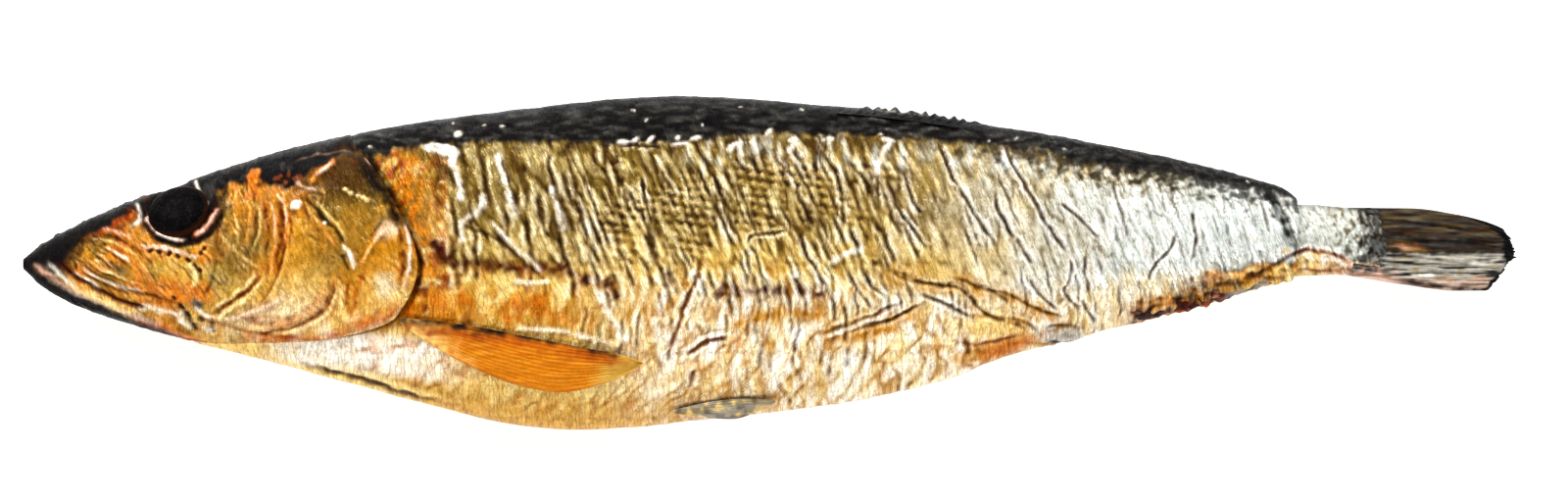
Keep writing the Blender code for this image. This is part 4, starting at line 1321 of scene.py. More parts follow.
def add_piece(name, points, faces, values, material):
    """A mesh object from points in millimetres, with its values by point, in its place."""
    size = (CAD_BOX[1].x - CAD_BOX[0].x) / LENGTH
    places = np.array(points, float).reshape(-1, 3)
    places[:, 2] = np.maximum(places[:, 2], LEAST_HEIGHT)
    places[:, 0] -= LENGTH / 2
    mesh = bpy.data.meshes.new(name)
    mesh.from_pydata((places * size).tolist(), [], faces)
    mesh.polygons.foreach_set("use_smooth", np.ones(len(mesh.polygons), bool))
    for key, value in values.items():
        value = np.asarray(value, np.float32).reshape(len(places), -1)
        if value.shape[1] == 1:
            mesh.attributes.new(key, "FLOAT", "POINT").data.foreach_set("value", value.ravel())
        elif key == "grain":
            mesh.attributes.new(key, "FLOAT_VECTOR", "POINT").data.foreach_set("vector", value.ravel())
        else:
            value = np.hstack((value, np.ones((len(value), 1), np.float32)))
            mesh.attributes.new(key, "FLOAT_COLOR", "POINT").data.foreach_set("color", value.ravel())
    mesh.materials.append(material)
    mesh.validate()
    mesh.update()
    piece = bpy.data.objects.new(name, mesh)
    bpy.context.scene.collection.objects.link(piece)
    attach(piece, BODY)
    return piece


def quads(rows, columns, ring=False, start=0, flip=False):
    """Faces of a grid of points, row by row."""
    row, column = np.meshgrid(np.arange(rows - 1), np.arange(columns - (not ring)), indexing="ij")
    after = (column + 1) % columns
    faces = np.stack(
        (row * columns + column, (row + 1) * columns + column,
         (row + 1) * columns + after, row * columns + after), -1
    ).reshape(-1, 4) + start
    return (faces[:, ::-1] if flip else faces).tolist()


def body_places(station, share, side, back, belly, half):
    """Skin points in millimetres, with x as the station, and their outward directions."""
    low = line(belly, station)
    high = line(back, station)
    level = low + share * (high - low)
    swell = line(half, station) * fullness(share)
    places = np.stack((station, level, line(MIDPLANE_HEIGHT, station) + side * swell), -1)
    along = np.gradient(places, axis=0)
    round_it = np.roll(places, -1, 1) - np.roll(places, 1, 1)
    outward = np.cross(along, round_it)
    outward /= np.maximum(np.linalg.norm(outward, axis=-1, keepdims=True), 1e-9)
    return places, outward


def ring_columns(left_count, right_count):
    """Share and side of each column, once round the section from the keel over the left side."""
    left, right = even_shares(left_count), even_shares(right_count)[::-1][1:-1]
    share = np.concatenate((left, right))
    side = np.concatenate((np.ones(left_count), -np.ones(right_count - 2)))
    return share, side


def both_sides(pair, values, places, lean):
    """Values read from the left hide where the skin faces up and from the right one below."""
    shares = ease(lean, -0.25, 0.25)
    up, down = (hide.read(getattr(hide, values), places[..., 0], places[..., 1]) for hide in pair)
    if up.ndim == 3:
        shares = shares[..., None]
    return up * shares + down * (1 - shares)


def skin_over(pair, station, columns, outline, proud, follow=1.0, last=None):
    """Points of skin with its relief, and the values that its material reads.

    Columns are the (share, side) once round the section. How proud the skin stands and how much
    it follows the relief are by point. Rows from last on lift the way the row before them does."""
    share, side = (np.broadcast_to(column, station.shape) for column in columns)
    places, outward = body_places(station, share, side, *outline)
    if last:
        outward[last:] = outward[last - 1]
    lean = np.where(side > 0, 1, -1) * np.minimum(1, 6 * fullness(share))
    lift = proud + follow * both_sides(pair, "relief", places, lean)
    level = places[..., 1]
    grain = station + SLANT * np.clip(level, -6, SLANT_TOP)
    values = {
        "pigment": both_sides(pair, "colour", places, lean),
        "metal": both_sides(pair, "metal", places, lean),
        "grain": np.stack((grain, level, np.where(lean > 0, 0.0, 40.0)), -1),
    }
    return places + outward * lift[..., None], values


def pair_of_hides(context, first, last, draw, seed):
    """The left and the right hide between two stations, drawn, and given painted shade and highlight from
    their relief.
    """
    chosen = context.scene.herring_colours
    colours = {key: tuple(getattr(chosen, key)) for key in SmokedHerringColours.__annotations__}
    depth = context.scene.herring_shape.crease_depth
    pair = []
    for is_left in (True, False):
        hide = Hide(first, last, seed + is_left, colours)
        draw(hide, is_left)
        hide.paint_shade_and_highlight(depth)
        pair.append(hide)
    return pair


def make_head(context):
    """One closed shell from the snout to the gill covers' rims, closed again inside the body."""
    pair = pair_of_hides(context, -2.0, 78.0, draw_head, 300)
    share, side = ring_columns(185, 125)
    rows, count = 285, len(share)
    along = (np.arange(1, rows + 1) / rows)[:, None] ** 1.06
    edge = gill_edge(share)[None, :]
    window = cover_window(share)[None, :]
    station = edge * along
    proud = cover_lift(station, share[None, :])
    # The rim turns in over its thickness and runs back under the cover: how far back each row of it
    # lies, how proud it stands, and how much it follows the relief
    folds = ((0.14, 0.74, 0.7), (0.12, 0.45, 0.3), (-0.4, 0.3, 0.0), (-3.0, 0.15, 0.0), (-5.0, -2.0, 0.0))
    station = np.vstack([station] + [edge + back for back, _, _ in folds])
    proud = np.vstack([proud] + [rise * window - 0.3 * (1 - window) for _, rise, _ in folds])
    follow = ease(station, 0, 2.5)
    follow[rows:] *= np.array([part for _, _, part in folds])[:, None]
    outline = (BACK_LINE, BELLY_LINE, HALF_THICKNESS)
    places, values = skin_over(pair, station, (share, side), outline, proud, follow, rows)
    snout = np.array((0.0, -0.2, line(MIDPLANE_HEIGHT, 0)))
    points = np.vstack((places.reshape(-1, 3), snout))
    faces = quads(len(station), count, ring=True)
    tip = len(points) - 1
    faces += [(tip, k, (k + 1) % count) for k in range(count)]
    last = (len(station) - 1) * count
    faces.append(tuple(last + k for k in range(count))[::-1])
    for key, value in values.items():
        value = value.reshape(len(points) - 1, -1)
        values[key] = np.vstack((value, value[:1]))
    head = add_piece("head", points, faces, values, skin_material("Smoked head skin", 0.8))
    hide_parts(NODE)


def make_flanks(context):
    """The skin from under the gill covers to the blunt rear end, split along keel and ridge."""
    pair = pair_of_hides(context, 22.0, 226.0, draw_flank, 500)
    left_count, rows = 186, 525
    share, side = ring_columns(left_count, 162)
    nominal = np.linspace(GILL_REAR - 6.5, SLEEVE_END, rows)[:, None]
    edge = gill_edge(share)[None, :]
    window = cover_window(share)[None, :]
    fade = fall(nominal, GILL_REAR + 1.5, GILL_REAR + 1.5 + GILL_FADE_LENGTH)
    station = nominal - (GILL_REAR - edge) * fade
    ragged = 0.5 * noise(share * 9, np.full_like(share, 3.0) + side, 77) - 0.6 * (1 - share)
    station = station + ragged * ease(station, 214, 221)
    behind = station - edge
    proud = -(0.25 + 0.6 * window) * fall(behind, 0.2, 1.6) - 0.8 * fall(behind, -7, -4)
    # The rear end turns in and runs back under the skin, row by row as the gill cover's rim does
    folds = ((0.25, -0.25, 0.8), (0.3, -0.7, 0.4), (0.0, -1.3, 0), (-3.0, -1.6, 0), (-6.0, -2.6, 0))
    end = station[-1:]
    station = np.vstack([station] + [end + out for out, _, _ in folds])
    proud = np.vstack([proud] + [np.full_like(end, rise) for _, rise, _ in folds])
    follow = ease(station - edge, -0.5, 1.5)
    follow[rows:] *= np.array([part for _, _, part in folds])[:, None]
    outline = (SLEEVE_BACK, SLEEVE_BELLY, SLEEVE_HALF)
    places, values = skin_over(pair, station, (share, side), outline, proud, follow, rows - 1)
    material = skin_material("Smoked flank skin", 1.0)
    for name, columns in (
        ("left_flank", np.arange(left_count)),
        ("right_flank", np.concatenate((np.arange(left_count - 1, len(share)), (0,)))),
    ):
        half = places[:, columns]
        wall = half[:, (0, -1)]
        count, tall = len(columns), len(half)
        points = np.vstack((half.reshape(-1, 3), wall.reshape(-1, 3)))
        start = count * tall
        faces = quads(tall, count) + quads(tall, 2, start=start, flip=True)
        faces.append(tuple(range(count)))
        faces.append(tuple(start - count + k for k in range(count))[::-1])
        own = {}
        for key, value in values.items():
            kept = value[:, columns]
            at_wall = kept[:, (0, -1)]
            own[key] = np.vstack((kept.reshape(start, -1), at_wall.reshape(2 * tall, -1)))
        piece = add_piece(name, points, faces, own, material)
        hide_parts(NODE)


def make_tail_root(context):
    """A short closed tube from inside the rear end of the skin to inside the tail's lobes."""
    pair = pair_of_hides(context, 200.0, 262.0, draw_tail_root, 700)
    share, side = ring_columns(120, 90)
    rows, count = 150, len(share)
    station = np.linspace(209, 239, rows)[:, None] + 0 * share[None, :]
    ragged = 1.4 * noise(share * 7, side + 5.0, 41)
    station = station + (ragged - 1.5 * np.abs(share - 0.5)) * ease(station, 230, 239)
    proud = -0.35 * fall(station, 221, 226) - 1.0 * ease(station, 235.5, 239)
    outline = (TAIL_ROOT_BACK, BELLY_LINE, TAIL_ROOT_HALF)
    places, values = skin_over(pair, station, (share, side), outline, proud)
    faces = quads(rows, count, ring=True)
    faces.append(tuple(range(count)))
    faces.append(tuple((rows - 1) * count + k for k in range(count))[::-1])
    piece = add_piece(
        "tail_root", places, faces, values, skin_material("Tail root skin", 0.8),
    )
    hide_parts(NODE)


def make_eyes(context):
    """Each eye is a flattened, slightly dried ball that sits in its socket."""
    material = eye_material()
    for name, side in (("left_eye", 1), ("right_eye", -1)):
        centre, along, across, outward = skin_frame(EYE_STATION, EYE_SHARE, side)
        rings, spokes = 34, 72
        turn = np.linspace(0, 2 * math.pi, spokes, endpoint=False)[None, :]
        polar = np.linspace(0.0, 1.0, rings)[:, None] * math.pi * 0.62
        x = np.sin(polar) * np.cos(turn)
        y = np.sin(polar) * np.sin(turn)
        z = np.cos(polar) + 0 * turn
        dent = 0.05 * layered(x * 3 + 9, y * 3 + side * 5, 61, 3) - 0.1 * np.exp(-((x**2 + y**2) / 0.12))
        z = z + dent * np.clip(z, 0, 1)
        ball = np.stack((x * EYE_RADII[0], y * EYE_RADII[1] + EYE_RISE, z * EYE_RADII[2]), -1)
        places = centre - EYE_SINK * outward + ball @ np.stack((along, across, outward))
        faces = quads(rings, spokes, ring=True)
        faces = [face[::-1] for face in faces] if side > 0 else faces
        faces.append(tuple((rings - 1) * spokes + k for k in range(spokes)))
        out = np.hypot(x, y) * np.where(polar < math.pi / 2, 1, 2)
        piece = add_piece(name, places, faces, {"out": out}, material)
        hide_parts(NODE)


def skin_frame(station, share, side):
    """A place on the skin and the axes there: along the fish, across it, and outwards."""
    def spot(s, part):
        low, high = line(BELLY_LINE, s), line(BACK_LINE, s)
        swell = line(HALF_THICKNESS, s) * fullness(part)
        return np.array((s, low + part * (high - low), line(MIDPLANE_HEIGHT, s) + side * swell))

    along = spot(station + 1.0, share) - spot(station - 1.0, share)
    across = spot(station, share + 0.02) - spot(station, share - 0.02)
    outward = np.cross(along, across)
    outward *= side / np.linalg.norm(outward)
    along /= np.linalg.norm(along)
    return spot(station, share), along, np.cross(outward, along), outward


def skin_height(station, level, side):
    """How high the skin stands over a place, without its relief."""
    low, high = line(BELLY_LINE, station), line(BACK_LINE, station)
    share = np.clip((level - low) / (high - low), 0.002, 0.998)
    return line(MIDPLANE_HEIGHT, station) + side * line(HALF_THICKNESS, station) * fullness(share)


def add_sheet(name, top, bottom, values, material):
    """A thin closed sheet between two grids of points."""
    rows, columns = top.shape[:2]
    points = np.vstack((top.reshape(-1, 3), bottom.reshape(-1, 3)))
    start = rows * columns
    faces = quads(rows, columns, flip=True) + quads(rows, columns, start=start)
    edge = list(range(columns))
    edge += [r * columns + columns - 1 for r in range(1, rows)]
    edge += [(rows - 1) * columns + k for k in range(columns - 2, -1, -1)]
    edge += [r * columns for r in range(rows - 2, 0, -1)]
    for a, b in zip(edge, edge[1:] + edge[:1]):
        faces.append((a, b, start + b, start + a))
    twice = {key: np.concatenate((value.reshape(start, -1),) * 2) for key, value in values.items()}
    return add_piece(name, points, faces, twice, material)


def sampled(route, count, power=1.0):
    """Points evenly spaced along a rounded route."""
    points = rounded(route)
    length = np.concatenate(((0,), np.cumsum(np.linalg.norm(np.diff(points, axis=0), axis=1))))
    at = np.linspace(0, 1, count) ** power * length[-1]
    return np.stack([np.interp(at, length, points[:, axis]) for axis in (0, 1)], -1)


PECTORAL_FRONT = (
    (66.8, -9.3), (73.3, -10), (80.3, -10.9), (88.5, -12.6), (97.2, -14.3), (105, -15.7), (108, -17),
)
PECTORAL_REAR = (
    (66.8, -10.3), (70.7, -13.2), (75.1, -16), (80.3, -18.6), (85.5, -20.7), (90.7, -22), (95.1, -22.3),
    (100.7, -21.1), (105, -19.4), (108, -17.3),
)
PELVIC_FRONT = ((113.3, -25.4), (118.8, -24), (124.4, -23.3), (130.7, -23.6))
PELVIC_REAR = ((113.3, -25.9), (117.9, -26.6), (121.8, -27.1), (125.3, -27), (130.7, -24.1))


def draw_fins(hide, is_left):
    """What is on the fins, each where it lies on the fish. Both sides are alike."""
    s, y = hide.station, hide.level
    fine = hide.noise(1.6, 1.6, 12, 2)
    along = hide.noise(7, 0.5, 13, 3)
    # Pectoral fin: plain orange, dark along the front edge, which is its dark front ray and painted shadow
    # between fin and body, pale and mottled at the root
    hide.zone("amber", np.ones_like(s), 0.15)
    hide.zone("ochre", 0.5 + 0.2 * along)
    root = fall(s + 2.5 * fine + 0.5 * y, 62, 72) * ease(-y, 5, 12)
    hide.zone("cream", root * 0.85)
    hide.zone("rust", root * ease(fine, 0.0, 0.5) * 0.9)
    hide.zone("gold", ease(s - 0.5 * y + fine, 108, 113) * 0.8)
    hide.strokes(
        (
            ((67.4, -10.5), (72.8, -11.6), (81.3, -12.6), (91.5, -14.3), (101.8, -16.3), (106.9, -17.2)),
            1.1, "rust", 0.8, 0.0, 0.0, 0.1,
        ),
        # Painted shadow along the front edge, over the dark front ray
        (
            ((66, -9.2), (71.3, -10), (75.4, -10.5), (80.3, -11.2), (85.1, -12.1)), 0.95, "smoke", 1.0, 0.0,
            0.0, 0.06,
        ),
        (
            ((80.3, -11.2), (85.1, -11.9), (90, -12.9), (95.6, -14), (101.1, -15.1), (105.3, -16.2)), 0.55,
            "smoke", 0.95, 0.0, 0.0, 0.1,
        ),
        (((69.4, -13.1), (74.5, -16), (81.3, -19.4), (88.1, -21.4)), 0.4, "rust", 0.7, 0.0, 0.0, 0.2),
    )
    # Pelvic fin: grey green, mottled
    pelvic = ease(s, 110, 112) * ease(-y, 15, 17)
    hide.zone("ash", pelvic)
    hide.zone("olive", pelvic * (0.35 + 0.8 * along))
    hide.zone("cream", pelvic * ease(fine, 0.1, 0.5) * 0.7)
    hide.zone("crease", pelvic * ease(-fine, 0.2, 0.6) * 0.6)
    # Back fin: black stubs of rays, with pale skin and painted highlight between the front ones
    upper = ease(y, 8, 12) * fall(s, 222, 226)
    hide.zone("smoke", upper, 0.0)
    highlit = np.clip(3.0 * hide.noise(0.9, 0.6, 31, 2) + 0.3, 0, 1) * within(s, 141, 144, 153, 160)
    highlit = highlit * ease(y - line(BACK_LINE, s), -0.5, 0.1)
    hide.zone("ash", 0.55 * upper * highlit, 0.1)
    # Anal fin: torn dark red flesh, and a grey membrane behind
    lower = ease(-y, 1, 3) * within(s, 180, 184, 224, 226)
    hide.zone("blood", lower)
    hide.zone("rust", lower * ease(hide.noise(2.2, 1.0, 33, 3), 0.0, 0.6))
    hide.zone("blush", lower * 0.7 * ease(fine, 0.3, 0.7))
    hide.zone("smoke", lower * fall(abs(s - 195) / 4, 0.4, 1) * 0.6)
    hide.zone("ash", lower * ease(s + 3 * fine, 206, 212) * 0.8)
    hide.zone("smoke", lower * ease(-fine, 0.1, 0.5) * 0.7)
    # Tail: brown above, pale grey below, a dark root and a black ragged end
    tail = ease(s, 226, 228)
    hide.zone("smoke", tail)
    hide.zone("crease", tail * 0.5 * ease(y, 1, 3))
    hide.zone("slate", tail * (0.5 + 0.8 * along) * ease(y, 1, 3))
    hide.zone("olive", tail * 0.3 * ease(hide.noise(6, 0.9, 37, 2), -0.1, 0.4) * ease(y, 3, 6))
    hide.zone("rust", tail * 0.08 * ease(hide.noise(5, 0.8, 34, 2), 0.2, 0.6) * ease(y, 1, 3))
    hide.zone("ash", tail * ease(1.9 - y + 0.5 * fine, 0, 0.8) * (0.95 + 0.35 * along))
    hide.zone("smoke", tail * 0.9 * ease(-along, 0.0, 0.4) * ease(2 - y, 0, 1))
    hide.zone("olive", tail * 0.5 * ease(along + fine, 0.3, 0.8) * ease(2 - y, 0, 1))
    hide.zone("blush", tail * 0.5 * ease(0.8 * fine - y, 2.4, 3.2))
    hide.spot((241.3, 2.6), (2.6, 0.7), "ochre", 0.35, turn=-10, soft=0.7)
    hide.spot((240.9, 2.7), (1.6, 0.4), "blush", 0.45, turn=-10, soft=0.7)
    hide.strokes(
        (((235.2, 6.1), (239.6, 4.8), (243.8, 3.7), (251.5, 3.6), (257.5, 3.6)), 0.5, "smoke", 0.95, -0.1),
        (((235.2, 7.8), (241.3, 7.1), (248.1, 6.3), (254.9, 5.1)), 0.25, "smoke", 0.8, -0.1),
        (((239.9, 1), (246.4, 1), (253.2, 0.9), (259.2, 1.5)), 0.5, "ash", 0.9, 0.1),
        (((241.3, -2), (244, -2.4), (246.4, -2.2)), 0.35, "glint", 0.9, 0.1),
        # Painted highlight near the end of the lower lobe
        (((251.5, -0.3), (254.9, 0), (258.3, 1)), 0.4, "glint", 0.5, 0.1),
        (((239.6, -3.1), (244.7, -3.9), (249.8, -4.4), (255.6, -4.9)), 0.45, "smoke", 0.95, 0.0, 0.0, 0.15),
    )
    hide.zone("smoke", tail * fall(s + 1.5 * fine, 234.5, 237.5) * 0.9 * ease(y + fine, -0.4, 1.6))
    hide.zone("blush", tail * fall(s + fine, 235, 241) * fall(y + fine, -2.0, -0.4) * 0.8)
    root = tail * fall(s + 2 * fine, 236, 243) * ease(2 - y, 0, 2) * ease(y + fine, -2.4, -1.0)
    hide.zone("slate", root * (0.5 + 0.8 * hide.noise(1.4, 1.0, 35, 2)))
    tip = line(
        ((-4.9, 254.8), (-3.3, 256.5), (-1.5, 258.6), (1, 259.3), (4, 258.7), (6.5, 256), (9, 249)), y,
    )
    hide.zone("smoke", tail * ease(s + 0.6 * fine, tip - 1.1, tip - 0.5), 0.0)
    hide.relief += (0.1 * along + 0.08 * hide.noise(3, 1.2, 36, 2)) * (0.35 + 0.65 * ease(s, 126, 136))


def fin_values(hide, station, level, ray, along, across):
    """What the membrane's material reads: colour, how near a ray, and a grain along the fin."""
    return {
        "pigment": hide.read(hide.colour, station, level),
        "ray": ray,
        "grain": np.stack((3 * along, 60 * across, 0 * along), -1),
    }


def make_flat_fins(context):
    """The fins that lie folded against the belly."""
    shape = context.scene.herring_shape
    thick, clear = shape.fin_thickness / MM, shape.fin_proud / MM
    hides = pair_of_hides(context, 62.0, 128.0, draw_fins, 900)
    material = membrane_material("Folded fin", 0.2)
    for name, front, rear, rays, count, seed in (
        ("pectoral_fin", PECTORAL_FRONT, PECTORAL_REAR, 13, (150, 100), 11),
        ("pelvic_fin", PELVIC_FRONT, PELVIC_REAR, 8, (70, 50), 12),
    ):
        lead, trail = sampled(front, count[0]), sampled(rear, count[0])
        across = np.linspace(0, 1, count[1])[None, :, None]
        plan = lead[:, None] * (1 - across) + trail[:, None] * across
        along = np.linspace(0, 1, count[0])[:, None] + 0 * across[..., 0]
        place = across[..., 0] + 0.03 * noise(along * 5, across[..., 0] * 4, seed)
        ray = np.cos(2 * math.pi * rays * place)
        fray = np.clip(ray, -1, 1) * 0.5 + 0.8 * noise(place * rays, along * 3, seed + 1)
        plan = plan + np.stack((fray * 0.5 * ease(along, 0.9, 1.0), 0 * fray), -1)
        for side, hide in zip((1, -1), hides):
            base = skin_height(plan[..., 0], plan[..., 1], side)
            lift = clear + 0.5 * ease(along, 0.5, 1.0) + 0.35 * within(place, 0.0, 0.25, 0.25, 0.9)
            relief = 0.07 * ray * ease(along, 0.1, 0.35) + 0.1 * noise(along * 14, place * 5, seed + 2)
            relief += 0.5 * hide.read(hide.relief, plan[..., 0], plan[..., 1])
            edge = fall(np.minimum(place, 1 - place), 0.0, 0.03)
            top = np.dstack((plan, base + side * (lift + relief + thick * (1 - 0.6 * edge))))
            bottom = np.dstack((plan, base + side * (lift + 0.4 * relief)))
            values = fin_values(hide, plan[..., 0], plan[..., 1], 0.5 + 0.5 * ray, along, place)
            turn = np.s_[:, ::side]
            values = {key: value[turn] for key, value in values.items()}
            name_here = f"{'left' if side > 0 else 'right'}_{name}"
            piece = add_sheet(name_here, top[turn], bottom[turn], values, material)
            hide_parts(NODE)


def make_ridge_fins(context):
    """The low back fin and the torn fin behind the vent, both folded over to the left."""
    hide = pair_of_hides(context, 136.0, 226.0, draw_fins, 900)[0]
    material = membrane_material("Torn fin", 0.6)
    for name, stations, outline, outward, height, root, rays, seed in (
        ("dorsal_fin", (141.5, 166.0), BACK_LINE, 1, 0.9, 1.3, 13, 21),
        ("anal_fin", (192.5, 216.0), BELLY_LINE, -1, 0.9, 1.9, 9, 22),
    ):
        rows, columns = 220, 26
        along = np.linspace(0, 1, rows)[:, None]
        up = np.linspace(0, 1, columns)[None, :]
        station = stations[0] + along * (stations[1] - stations[0]) + 1.8 * up
        phase = along * rays + 1.2 * noise(along * 5, up * 1.5, seed)
        tooth = 0.5 + 0.5 * np.cos(2 * math.pi * phase)
        rise = height * np.sin(math.pi * np.clip(along, 0.01, 0.99)) ** 0.7
        rise = rise * np.clip(0.3 + 0.5 * tooth + 0.8 * noise(along * 19, 0 * up, seed + 1), 0.05, 1.3)
        level = line(outline, station) + outward * (up * (root + rise) - root)
        relief = 0.1 * tooth * (1 - 0.5 * up) + 0.2 * noise(along * 30, up * 3, seed + 2)
        relief = relief * ease(up, 0.0, 0.4)
        swell = 0.44 * line(HALF_THICKNESS, station) * (1 - up) ** 0.7
        base = line(MIDPLANE_HEIGHT, station) + swell + 0.1 + 0.8 * up
        top = np.dstack((station, level, base + relief))
        bottom = np.dstack((station, level, base - 0.5 + 0.2 * relief))
        values = fin_values(hide, station, level, tooth * np.ones_like(up), along + 0 * up, up + 0 * along)
        turn = np.s_[:, ::outward]
        values = {key: value[turn] for key, value in values.items()}
        piece = add_sheet(name, top[turn], bottom[turn], values, material)
        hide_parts(NODE)


TAIL_TOP = BACK_LINE[:17] + ((255, 7.2), (258, 6.0), (260.5, 4.3))
TAIL_BOTTOM = BELLY_LINE[:19] + ((255.5, -4.9), (260.5, -2.4))
TAIL_CREASE = ((228, 3.0), (234, 2.6), (240, 1.9), (250, 1.4), (260, 1.2))
LOBE_START = 231.5
LOBE_END = 260.2


def make_tail_fin(context):
    """Two folded lobes, the upper one lying a little over the lower one."""
    hide = pair_of_hides(context, 226.0, 262.0, draw_fins, 900)[0]
    material = membrane_material("Tail lobe", 0.6)
    for name, low, high, rays, shift, seed in (
        ("upper_tail_lobe", TAIL_CREASE, TAIL_TOP, 8, 0.35, 31),
        ("lower_tail_lobe", TAIL_BOTTOM, TAIL_CREASE, 6, -0.15, 32),
    ):
        rows, columns = 150, 100
        is_upper = high is TAIL_TOP
        across = np.linspace(0, 1, columns)[None, :]
        along = np.linspace(0, 1, rows)[:, None]
        tip = 1.8 * across**3 if is_upper else 4.8 * (1 - across) ** 1.6
        notch = 0.3 * (np.cos(2 * math.pi * rays * across) > 0.75)
        end = LOBE_END - tip - notch + 0.45 * noise(across * rays, across * 0, seed)
        station = LOBE_START + along * (end - LOBE_START)
        bottom_line = line(low, station) - 0.5 * is_upper
        top_line = line(high, station) + 0.6 * (not is_upper)
        level = bottom_line + across * (top_line - bottom_line)
        place = across + 0.05 * noise(along * 3, across * 6, seed + 1)
        ray = np.cos(2 * math.pi * rays * place)
        relief = 0.1 * ray + 0.14 * noise(along * 8, place * 5, seed + 2)
        relief = relief + 0.06 * noise(along * 24, place * 18, seed + 3)
        relief = relief + hide.read(hide.relief, station, level)
        half = line(HALF_THICKNESS, station) * (1 - (2 * across - 1) ** 4 * 0.75) * 0.75
        middle = line(MIDPLANE_HEIGHT, station) + shift * ease(along, 0.1, 0.4)
        top = np.dstack((station, level, middle + half + relief))[:, ::-1]
        bottom = np.dstack((station, level, middle - half - 0.8 * relief))[:, ::-1]
        values = fin_values(hide, station, level, 0.5 + 0.5 * ray, along + 0 * across, place)
        values = {key: value[:, ::-1] for key, value in values.items()}
        piece = add_sheet(name, top, bottom, values, material)
        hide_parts(NODE)


# Materials

DEEPEN = 1.3  # smoke and oil deepen every pigment


class Recipe:
    """Adds nodes to a tree from left to right and links them."""

    def __init__(self, tree):
        self.tree = tree
        self.count = 0

    def node(self, kind, inputs=(), **settings):
        made = self.tree.nodes.new(kind)
        made.location = (220 * (self.count // 4), -260 * (self.count % 4))
        self.count += 1
        for key, value in settings.items():
            setattr(made, key, value)
        pairs = inputs.items() if isinstance(inputs, dict) else enumerate(inputs)
        for key, value in pairs:
            if isinstance(value, bpy.types.NodeSocket):
                self.tree.links.new(value, made.inputs[key])
            elif value is not None:
                made.inputs[key].default_value = value
        return made

    def math(self, operation, *values):
        return self.node("ShaderNodeMath", values, operation=operation).outputs[0]

    def times(self, first, second):
        return self.math("MULTIPLY", first, second)

    def mix(self, factor, first, second, blend="MIX"):
        """A mix of two colours. Its sockets are 6 and 7, and 2 is the one that it leaves by."""
        colours = [
            value if isinstance(value, bpy.types.NodeSocket) else (*value, 1) for value in (first, second)
        ]
        inputs = {0: factor, 6: colours[0], 7: colours[1]}
        return self.node("ShaderNodeMix", inputs, data_type="RGBA", blend_type=blend).outputs[2]

    def span(self, value, low, high, to_low=0.0, to_high=1.0):
        return self.node("ShaderNodeMapRange", (value, low, high, to_low, to_high)).outputs[0]

    def attribute(self, name, output="Fac"):
        return self.node("ShaderNodeAttribute", attribute_name=name).outputs[output]

    def noise(self, vector, scale, detail=2.0, roughness=0.5):
        settings = {"Vector": vector, "Scale": scale, "Detail": detail, "Roughness": roughness}
        return self.node("ShaderNodeTexNoise", settings).outputs["Fac"]

    def stretched(self, vector, scale):
        return self.node("ShaderNodeVectorMath", (vector, scale), operation="MULTIPLY").outputs[0]

    def group(self, tree, inputs):
        return self.node("ShaderNodeGroup", inputs, node_tree=tree).outputs


def new_group(name, inputs, outputs):
    """A shader node group with named sockets: the group, its recipe and its inputs."""
    tree = bpy.data.node_groups.new(name, "ShaderNodeTree")
    for label, kind, default in inputs:
        socket = tree.interface.new_socket(name=label, in_out="INPUT", socket_type=f"NodeSocket{kind}")
        if default is not None:
            socket.default_value = default
    for label, kind in outputs:
        tree.interface.new_socket(name=label, in_out="OUTPUT", socket_type=f"NodeSocket{kind}")
    recipe = Recipe(tree)
    given = recipe.node("NodeGroupInput").outputs
    return tree, recipe, given


def oily_mottle():
    """Uneven smoke and oil: a soft blotch, a fine speck and how wet the skin is."""
    name = "Oily mottle"
    if name in bpy.data.node_groups:
        return bpy.data.node_groups[name]
    tree, add, given = new_group(
        name, (("Vector", "Vector", None), ("Size", "Float", 500.0)),
        (("Blotch", "Float"), ("Speck", "Float"), ("Wet", "Float"), ("Height", "Float")),
    )
    blotch = add.noise(given["Vector"], given["Size"], 4.0, 0.6)
    fine_size = add.times(given["Size"], 5.0)
    speck = add.noise(given["Vector"], fine_size, 3.0, 0.65)
    wet_size = add.times(given["Size"], 0.7)
    wet = add.noise(given["Vector"], wet_size, 2.0, 0.5)
    height = add.math("ADD", add.times(blotch, 0.6), add.times(speck, 0.4))
    add.node(
        "NodeGroupOutput",
        (add.span(blotch, 0.3, 0.7), add.span(speck, 0.35, 0.65), add.span(wet, 0.35, 0.65), height),
    )
    return tree


def dried_wrinkles():
    """Thin wrinkles that run down the flank: lines, crests and a height."""
    name = "Dried wrinkles"
    if name in bpy.data.node_groups:
        return bpy.data.node_groups[name]
    tree, add, given = new_group(
        name, (
            ("Grain", "Vector", None), ("Across", "Float", 0.9), ("Along", "Float", 0.22),
            ("Width", "Float", 0.06),
        ),
        (("Line", "Float"), ("Crest", "Float"), ("Height", "Float")),
    )
    scale = add.node("ShaderNodeCombineXYZ", (given["Across"], given["Along"], 1.0)).outputs[0]
    stretched = add.stretched(given["Grain"], scale)
    field = add.noise(stretched, 1.0, 2.0, 0.55)
    off = add.math("ABSOLUTE", add.math("SUBTRACT", field, 0.5))
    thin = add.span(off, 0.0, given["Width"], 1.0, 0.0)
    crest = add.span(field, 0.56, 0.72)
    height = add.math("SUBTRACT", add.times(crest, 0.6), thin)
    add.node("NodeGroupOutput", (thin, crest, height))
    return tree


